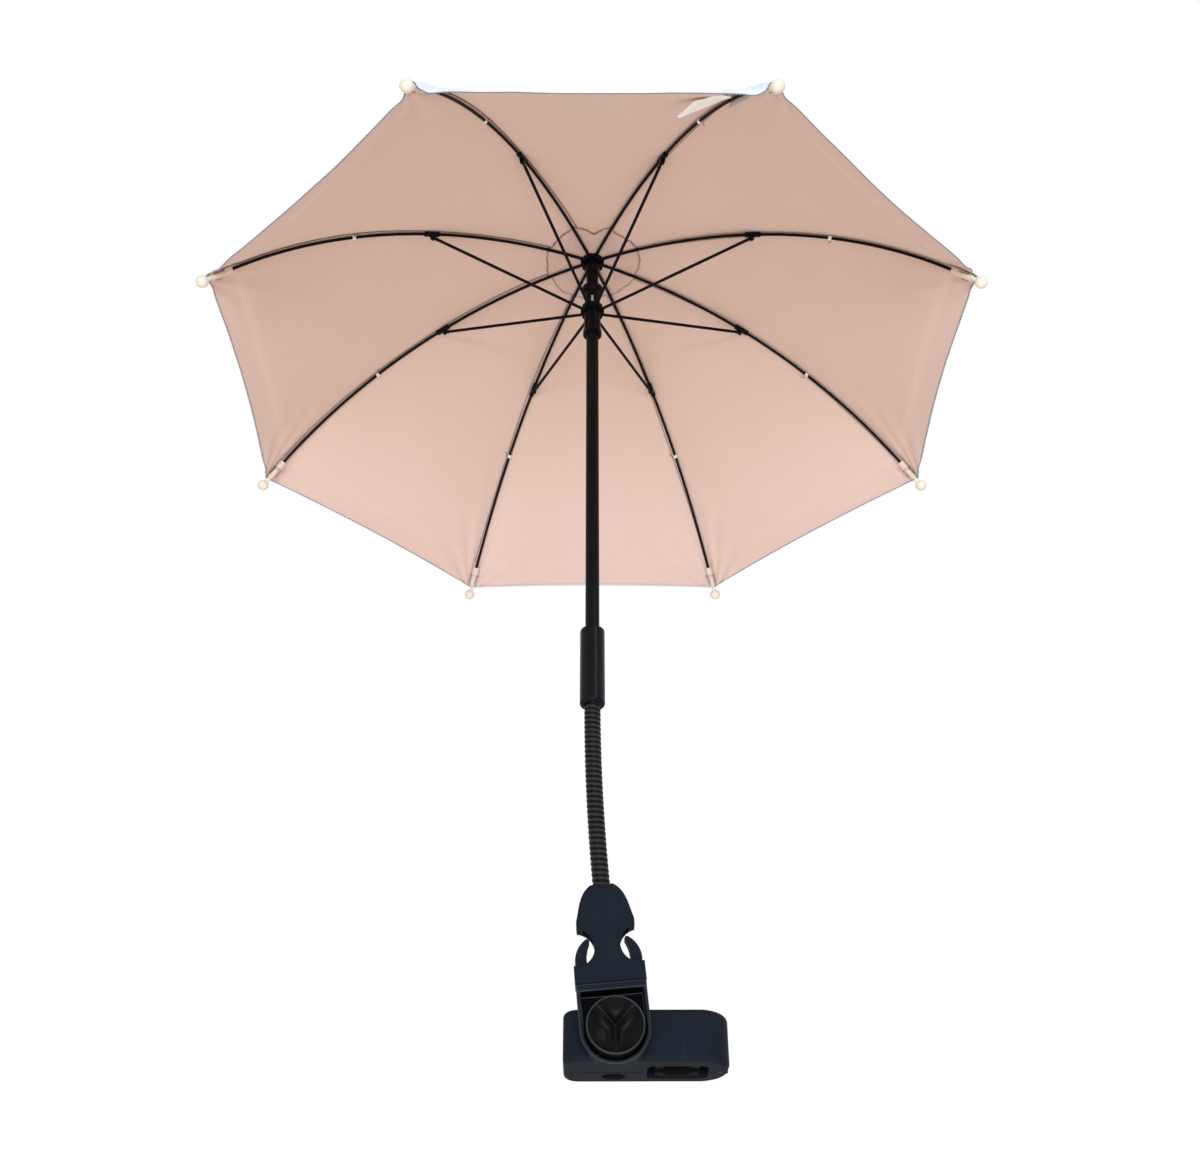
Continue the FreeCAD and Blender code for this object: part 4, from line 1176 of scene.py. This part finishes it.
class PARASOL_OT_thread_ties(bpy.types.Operator):
    """Winds the threads that tie the cloth to the ribs and to the tips"""

    bl_idname = "parasol.thread_ties"
    bl_label = "Thread ties"

    thread_radius, tail_radius, stitch_radius = 0.00042, 0.0003, 0.00032
    rib_turns, tip_turns = 4.0, 3.0
    # Gaps of a tip's stitches from its sleeve and its waist
    sleeve_gap, waist_gap = 0.0006, 0.0008

    def execute(self, context):
        sizes = canopy()
        for n in rib_numbers:
            point, along = rib_place(n, math.asin(sizes.tie_radius / sizes.rib_arc))
            self.wind(
                f"rib_tie_{n}", n, point, along, sizes.rib_radius, self.rib_turns,
                pale_thread(), "pale_webbing",
            )
            side = along.cross(Vector((0, 0, 1))).normalized() * -sizes.seam_offset
            lift = along.cross(side).normalized() * sizes.cloth_lift
            lift *= 1 if lift.z > 0 else -1
            self.stitch(f"tie_tail_{n}", n, [
                point + side * 0.5 - lift * 0.6,
                point + side * 1.0 - lift * 0.1,
                point + side * 1.5 - along * 0.002 - lift * 0.2,
                point + side * 2.0 - along * 0.004 - lift * 0.5,
            ], self.tail_radius)
            self.tie_tip(n)
        return {"FINISHED"}

    def wind(self, name, n, point, along, radius, turns, material, slot):
        """A few turns of thread round a rib or a tip."""
        thread = self.thread_radius
        height = thread * 2 * turns
        coil = grown(
            name, line_mesh("tie", [point - along * height / 2], along=[along]), wound_thread(),
            Radius=radius + thread, Turns=turns, Height=height, Thread_Radius=thread, Material=material,
        )
        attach(coil, f"rib_{n}")

    def stitch(self, name, n, points, radius):
        """A loose thread through a few points."""
        thread = grown(
            name, line_mesh("stitch", points), plain_thread(), Radius=radius, Material=seam_thread()
        )
        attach(thread, f"rib_{n}")

    def tie_tip(self, n):
        """Thread round a tip's waist, and from there to the hem at both sides of the sleeve."""
        sizes = fittings()
        ball, along = tip_ball(n)
        waist = ball - along * sizes.tip_waist_back
        self.wind(
            f"tip_tie_{n}", n, waist, along, sizes.tip_waist_radius, self.tip_turns,
            pocket_thread(), "canopy_cloth",
        )
        side = along.cross(Vector((0, 0, 1))).normalized()
        rise = side.cross(along)
        for hand, label in ((1, "a"), (-1, "b")):
            reach = side * hand * (sizes.tip_sleeve_radius + self.sleeve_gap)
            knot = side * hand * (sizes.tip_waist_radius + self.waist_gap)
            # the stitch at the far side lies lower, round the sleeve
            if reach.y > 0:
                reach = reach * 0.55 - rise * (sizes.tip_sleeve_radius * 0.9)
            self.stitch(f"tip_stitch_{label}_{n}", n, [
                waist + knot * 1.7 - rise * 0.0002 - along * 0.0012,
                waist + knot - rise * 0.0004,
                waist + reach - rise * 0.0004 + along * 0.0030,
                waist + reach - rise * 0.0002 + along * 0.0066,
                waist + reach * 0.9 + rise * 0.0002 + along * 0.0090,
            ], self.stitch_radius)


class PARASOL_OT_closing_strap(bpy.types.Operator):
    """Makes the folded closing strap beside the second rib, and its short end at the rib's other side"""

    bl_idname = "parasol.closing_strap"
    bl_label = "Closing strap"

    # The loop's length to its fold, width as hung, slant, gap from the rib, and the fold's run
    loop_length, loop_drop, loop_slant, loop_gap, fold_run = 0.030, 0.0110, 0.011, 0.003, 0.006
    # Its row on the panel, how far that climbs, and its distance from the pole against the ties'
    loop_row, loop_climb, loop_reach = 0.80, 0.02, 1.2
    # How far it hangs under the cloth at the rib, more at the fold and on the way back, and the share of its
    # width that hangs at the rib
    loop_hang, fold_hang, back_hang, hung_width = 0.0016, 0.0026, 0.0013, 0.28
    # Its gap from the cloth, the gap between its two layers and how that rounds to the fold, and their swell
    layer_gap, fold_gap, fold_bulge, fold_round, loop_swell = 0.0006, 0.0052, 0.75, 0.05, 0.0011
    # The short end's row and run, its gap from the rib, slant and waver, and how far it hangs and twists
    end_row, end_run, end_gap, end_slant, end_waver, end_waves = 0.862, 0.10, 0.0042, 0.0014, 0.0006, 4
    end_hang, end_drop, end_twist = 0.0008, 0.0035, 0.0025

    def execute(self, context):
        loop = self.strip("strap_loop", self.loop_point, loop_columns, loop_rows)
        self.fix(loop, 1, loop_flat, 1.0, "folded")
        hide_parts("closing_strap")
        end = self.strip("strap_end", self.end_point, end_columns, end_rows)
        self.fix(end, 2, end_flat, end_share, "hung")
        return {"FINISHED"}

    def strip(self, name, place, columns, rows):
        """A strip of webbing, given by a function of u, v and the depth in its thickness."""
        return thin_sheet(
            name, lambda u, v: place(u, v, strap_thickness), lambda u, v: place(u, v, 0.0), columns, rows,
            (strap_webbing(), strap_webbing()),
        )

    def fix(self, strip, n, flat, share, held):
        """Ties a strip to panel n's cloth. The share is of its flat box, and is not used."""
        follow_cloth(strip, n)

    def loop_point(self, u, v, out):
        """The strap runs from the rib along the first panel, folds back, and hangs from its upper edge."""
        run = u * 2 * self.loop_length
        along = self.loop_length - abs(self.loop_length - run)
        share = along / self.loop_length
        back = smooth((run - self.loop_length + self.fold_run / 2) / self.fold_run)
        chord = chord_at(canopy().tie_radius) * self.loop_reach
        inset = (self.loop_gap + along + self.loop_slant * v) / chord
        hang = self.loop_hang + self.fold_hang * share + self.back_hang * back * (1 - v)
        hang += self.loop_drop * v * (self.hung_width + (1 - self.hung_width) * share)
        row = self.loop_row - self.loop_climb * v
        point = taut_point(1, 1 - inset, row, lift=-hang)
        swell = self.loop_swell * math.sin(math.pi * share) * math.sin(math.pi * v)
        layer = self.fold_gap * back * math.sin(math.pi * min(self.fold_bulge, share + self.fold_round))
        return point + outward(rib_azimuth(1.5)) * (self.layer_gap + layer + swell * (1 - 2 * back) - out)

    def end_point(self, u, v, out):
        """The strap's other end lies along the rib on the second panel and hangs a little."""
        row = self.end_row - self.end_run * u
        waver = self.end_waver * math.sin(u * self.end_waves)
        chord = chord_at(canopy().rib_arc * math.sin(row * hem_angle()))
        inset = (self.end_gap + self.end_slant * v + waver) / chord
        hang = self.end_hang + v * (self.end_drop + self.end_twist * u)
        return taut_point(2, inset, row, lift=-hang) + outward(rib_azimuth(2.5)) * out


class PARASOL_OT_canopy_frame(bpy.types.Operator):
    """Finishes the ribs, stretchers, tips, crown and runner"""

    bl_idname = "parasol.canopy_frame"
    bl_label = "Canopy frame"

    def execute(self, context):
        for n in rib_numbers:
            paint(black_paint(), f"rib_{n}", f"stretcher_{n}")
            paint(sheathed_ivory(), f"rib_tip_{n}")
        paint(gloss_moulding(), "crown_hub", "runner")
        paint(plated_steel(), "crown_wire", "spring_catch")
        paint(ivory_moulding(), "top_cap")
        return {"FINISHED"}


class PARASOL_OT_pole(bpy.types.Operator):
    """Finishes the pole, its ringed section and the barrel"""

    bl_idname = "parasol.pole"
    bl_label = "Pole"

    def execute(self, context):
        paint(black_paint(), "pole_lower", "pole_upper")
        paint(gloss_moulding(), "coupling_barrel")
        joint = Vector(joints["head_tilt"]["pos_m"])
        half = pole_low.z - joint.z
        rings = fittings().flex_rings
        radius = (pole_high.x - pole_low.x) / 2
        steps = 40
        line = [joint + Vector((0, 0, half * (2 * k / steps - 1))) for k in range(steps + 1)]
        tube = grown(
            "ringed_section", line_mesh("flex", line), ringed_tube(), Radius=radius,
            Depth=fittings().flex_ring_depth, Pitch=2 * half / rings, Start=0.0, Material=black_paint(),
        )
        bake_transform(tube, "pole", "head", start=line[0], end=line[-1])
        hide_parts("pole_flex")
        return {"FINISHED"}


class PARASOL_OT_neck(bpy.types.Operator):
    """Winds the bendable neck between the buckle and the barrel"""

    bl_idname = "parasol.neck"
    bl_label = "Bendable neck"

    def execute(self, context):
        sizes = fittings()
        insert = sizes.neck_insert
        top = Vector((crown.x, crown.y, barrel_foot))
        lean = buckle_lean
        first = Vector(joints["neck_bend_side"]["pos_m"])
        second = Vector(joints["neck_bend_fore"]["pos_m"])
        # the neck is an arc that is upright at the barrel and leans as the buckle does at its foot
        radius = (top.z - second.z) / math.sin(lean / 4)
        length = radius * lean

        def centre(run):
            """A point of the neck, by length from its foot."""
            here = lean * (1 - min(max(run, 0.0), length) / length)
            point = top + Vector((radius * (1 - math.cos(here)), 0, -radius * math.sin(here)))
            beyond = min(run, 0.0) + max(run - length, 0.0)
            return point + Vector((-math.sin(here), 0, math.cos(here))) * beyond

        joint_tolerance = 0.001
        if (centre(length / 4) - first).length > joint_tolerance:
            raise RuntimeError("the neck's arc misses its joint")
        pitch = length / sizes.neck_rings
        steps = 60
        halves = (
            ("neck_lower_half", -insert, length / 2, "socket", "neck_middle", 0.0, length / 2,
             ("neck_lower", "neck_middle")),
            ("neck_upper_half", length / 2, length + insert, "neck_middle", "pole", length / 2, length,
             ("neck_upper",)),
        )
        for name, start, end, below, above, bend_from, bend_to, nodes in halves:
            line = [centre(start + (end - start) * k / steps) for k in range(steps + 1)]
            tube = grown(
                name, line_mesh("neck", line), ringed_tube(), Radius=sizes.neck_radius,
                Depth=sizes.neck_ring_depth, Pitch=pitch, Start=start + insert, Material=neck_coating(),
            )
            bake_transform(tube, below, above, start=centre(bend_from), end=centre(bend_to))
            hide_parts(*nodes)
        return {"FINISHED"}


class PARASOL_OT_buckle(bpy.types.Operator):
    """Finishes the quick-release buckle"""

    bl_idname = "parasol.buckle"
    bl_label = "Buckle"

    def execute(self, context):
        for node in ("buckle_plug", "buckle_socket", "latch_left", "latch_right"):
            # The plug's recess behind the knob gets painted shade
            piece = softened(node, matte_moulding(), in_recess if node == "buckle_plug" else None)
        return {"FINISHED"}


class PARASOL_OT_clamp(bpy.types.Operator):
    """Finishes the tube clamp and its knob"""

    bl_idname = "parasol.clamp"
    bl_label = "Tube clamp"

    def execute(self, context):
        for node in ("front_jaw", "back_jaw"):
            piece = softened(node, matte_moulding())
        self.turn_knob()
        paint(ribbed_rubber(), "front_pad", "back_pad")
        paint(plated_steel(), "knob_bolt", "thrust_washer", "barrel_nut")
        paint(black_paint(), "hinge_pin")
        return {"FINISHED"}

    def turn_knob(self):
        """A round knob with a thin rim and a dish in which three soft ridges meet. Its rim takes the glossier
        edge finish, whose lighter black is a painted highlight.
        """
        low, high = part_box("knob")
        axis = (low + high) / 2
        radius = (high.x - low.x) / 2
        depth = high.y - low.y
        step, edge, brim, bowl = 0.0006, 0.0007, 0.0012, 0.0062
        flange = depth * 0.78
        neck = radius - step
        inside = neck - brim
        rim_arc = (0.5, 1.0, 1.57)
        rows, columns = 40, 120
        outline = [(0.0, depth), (radius - edge, depth), (radius, depth - edge), (radius, flange + edge)]
        outline += [(neck, flange), (neck, edge)]
        outline += [(neck - edge * (1 - math.cos(a)), edge * (1 - math.sin(a))) for a in rim_arc]
        outline.append((inside, 0.0))
        turns = [2 * math.pi * k / columns for k in range(columns)]
        rings = [[place] * columns for place in outline]
        for j in range(1, rows + 1):
            reach = inside * (1 - j / rows)
            rings.append([(reach, self.dish(reach, inside, turn, bowl)) for turn in turns])
        bm = bmesh.new()
        grid = []
        for ring in rings:
            row = []
            for turn, (reach, down) in zip(turns, ring):
                place = (axis.x + reach * math.cos(turn), low.y + down, axis.z + reach * math.sin(turn))
                row.append(bm.verts.new(place))
            grid.append(row)
        for j in range(len(grid) - 1):
            for k in range(columns):
                m = (k + 1) % columns
                made = bm.faces.new((grid[j][k], grid[j][m], grid[j + 1][m], grid[j + 1][k]))
                made.smooth = True
                # The rim's faces take the glossier edge finish, whose lighter black is a painted highlight
                made.material_index = 1 if len(outline) - 4 <= j < len(outline) - 1 else 0
        bmesh.ops.remove_doubles(bm, verts=bm.verts, dist=merge_distance / 2)
        mesh = finished_mesh("knob_turned", bm, (satin_moulding(), polished_edge()))
        knob = make_object("knob_turned", mesh)
        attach(knob, "knob")
        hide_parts("knob")

    def dish(self, reach, inside, turn, bowl):
        """Depth of the knob's dish under its rim."""
        depth = bowl * (1 - (reach / inside) ** 2) ** dish_power
        ridge = 0.0
        for lean in ridge_turns:
            ahead = reach * math.cos(turn - lean)
            aside = reach * math.sin(turn - lean) if ahead > 0 else reach
            ridge = max(ridge, math.exp(-abs(aside / ridge_width) ** ridge_power))
        return depth * (1 - ridge_share * ridge)


class PARASOL_OT_stage(bpy.types.Operator):
    """Sets the camera, the floor and plain soft light"""

    bl_idname = "parasol.stage"
    bl_label = "Stage"

    def execute(self, context):
        stage = context.scene.parasol_stage
        context.scene.view_settings.view_transform = "Standard"
        self.place_camera(context, stage)
        self.lay_floor(stage)
        self.light_world(context, stage)
        for name, (offset, size, colour) in lamps.items():
            self.soft_light(f"{name}_light", offset, size, getattr(stage, f"{name}_power"), colour)
        return {"FINISHED"}

    def place_camera(self, context, stage):
        data = bpy.data.cameras.new("photo_camera")
        data.lens = stage.lens
        data.sensor_width = sensor_width
        camera = make_object("photo_camera", data)
        context.scene.camera = camera
        ahead = math.cos(stage.pitch)
        forward = Vector((-math.sin(stage.yaw) * ahead, math.cos(stage.yaw) * ahead, math.sin(stage.pitch)))
        level = Vector((math.cos(stage.yaw), math.sin(stage.yaw), 0))
        rise = level.cross(forward)
        right = level * math.cos(stage.roll) + rise * math.sin(stage.roll)
        up = right.cross(forward)
        turn = Matrix((right, up, -forward)).transposed().to_4x4()
        place = crown + Vector((0, -stage.camera_back, -stage.camera_below))
        camera.matrix_world = Matrix.Translation(place) @ turn

    def lay_floor(self, stage):
        bm = bmesh.new()
        bmesh.ops.create_grid(bm, x_segments=1, y_segments=1, size=floor_size)
        mesh = bpy.data.meshes.new("floor")
        bm.to_mesh(mesh)
        bm.free()
        floor = make_object("floor", mesh)
        floor.location = (crown.x, crown.y, stage.floor_z)
        material, tree, shader = start_material("pale_floor")
        skin = place_group(tree, moulded_grain(), "Object", Grain_Scale=300.0, Mottle_Scale=3.0)
        colour = mixed_colour(tree, skin["Mottle"], *floor_colours)
        set_inputs(tree, shader, {"Base Color": colour, "Roughness": 0.9})
        mesh.materials.append(material)

    def light_world(self, context, stage):
        """An even light that the camera, reflections and transmission see as plain white."""
        world = bpy.data.worlds.new("studio")
        context.scene.world = world
        world.use_nodes = True
        tree = world.node_tree
        tree.nodes.clear()
        path = add(tree, "ShaderNodeLightPath").outputs
        seen = math_node(tree, "MAXIMUM", path["Is Camera Ray"], path["Is Glossy Ray"])
        seen = math_node(tree, "MAXIMUM", seen, path["Is Transmission Ray"])
        light = add(tree, "ShaderNodeBackground", {"Color": world_colour, "Strength": stage.world_light})
        plain = add(tree, "ShaderNodeBackground", {"Color": white})
        mix = add(tree, "ShaderNodeMixShader", {0: seen, 1: light, 2: plain})
        add(tree, "ShaderNodeOutputWorld", {"Surface": mix})

    def soft_light(self, name, offset, size, power, colour):
        """An upright soft box at an offset from the crown, aimed a little under it."""
        data = bpy.data.lights.new(name, "AREA")
        data.shape = "RECTANGLE"
        data.size, data.size_y = size
        data.energy = power
        data.color = colour
        lamp = make_object(name, data)
        lamp.location = crown + offset
        lamp.rotation_euler = (lamp_aim - offset).to_track_quat("-Z", "Y").to_euler()
        lamp.visible_camera = False


class PARASOL_PT_panel(bpy.types.Panel):
    """Lists the parasol's pieces and sizes"""

    bl_label = "Pram Parasol"
    bl_idname = "PARASOL_PT_panel"
    bl_space_type = "VIEW_3D"
    bl_region_type = "UI"
    bl_category = "Parasol"

    def draw(self, context):
        for operator in operators:
            self.layout.operator(operator.bl_idname)
        for group in (context.scene.parasol_canopy, context.scene.parasol_frame, context.scene.parasol_stage):
            box = self.layout.box()
            for name in group.__annotations__:
                box.prop(group, name)


operators = (
    PARASOL_OT_stage,
    PARASOL_OT_cloth,
    PARASOL_OT_crown_patch,
    PARASOL_OT_edge_threads,
    PARASOL_OT_thread_ties,
    PARASOL_OT_closing_strap,
    PARASOL_OT_canopy_frame,
    PARASOL_OT_pole,
    PARASOL_OT_neck,
    PARASOL_OT_buckle,
    PARASOL_OT_clamp,
)
groups = (CanopySizes, FrameSizes, StageSizes)


def register():
    for cls in groups + operators + (PARASOL_PT_panel,):
        bpy.utils.register_class(cls)
    bpy.types.Scene.parasol_canopy = PointerProperty(type=CanopySizes)
    bpy.types.Scene.parasol_frame = PointerProperty(type=FrameSizes)
    bpy.types.Scene.parasol_stage = PointerProperty(type=StageSizes)


def unregister():
    del bpy.types.Scene.parasol_canopy
    del bpy.types.Scene.parasol_frame
    del bpy.types.Scene.parasol_stage
    for cls in reversed(groups + operators + (PARASOL_PT_panel,)):
        bpy.utils.unregister_class(cls)


def main():
    register()
    for operator in operators:
        family, name = operator.bl_idname.split(".")
        getattr(getattr(bpy.ops, family), name)()


if __name__ == "__main__":
    main()
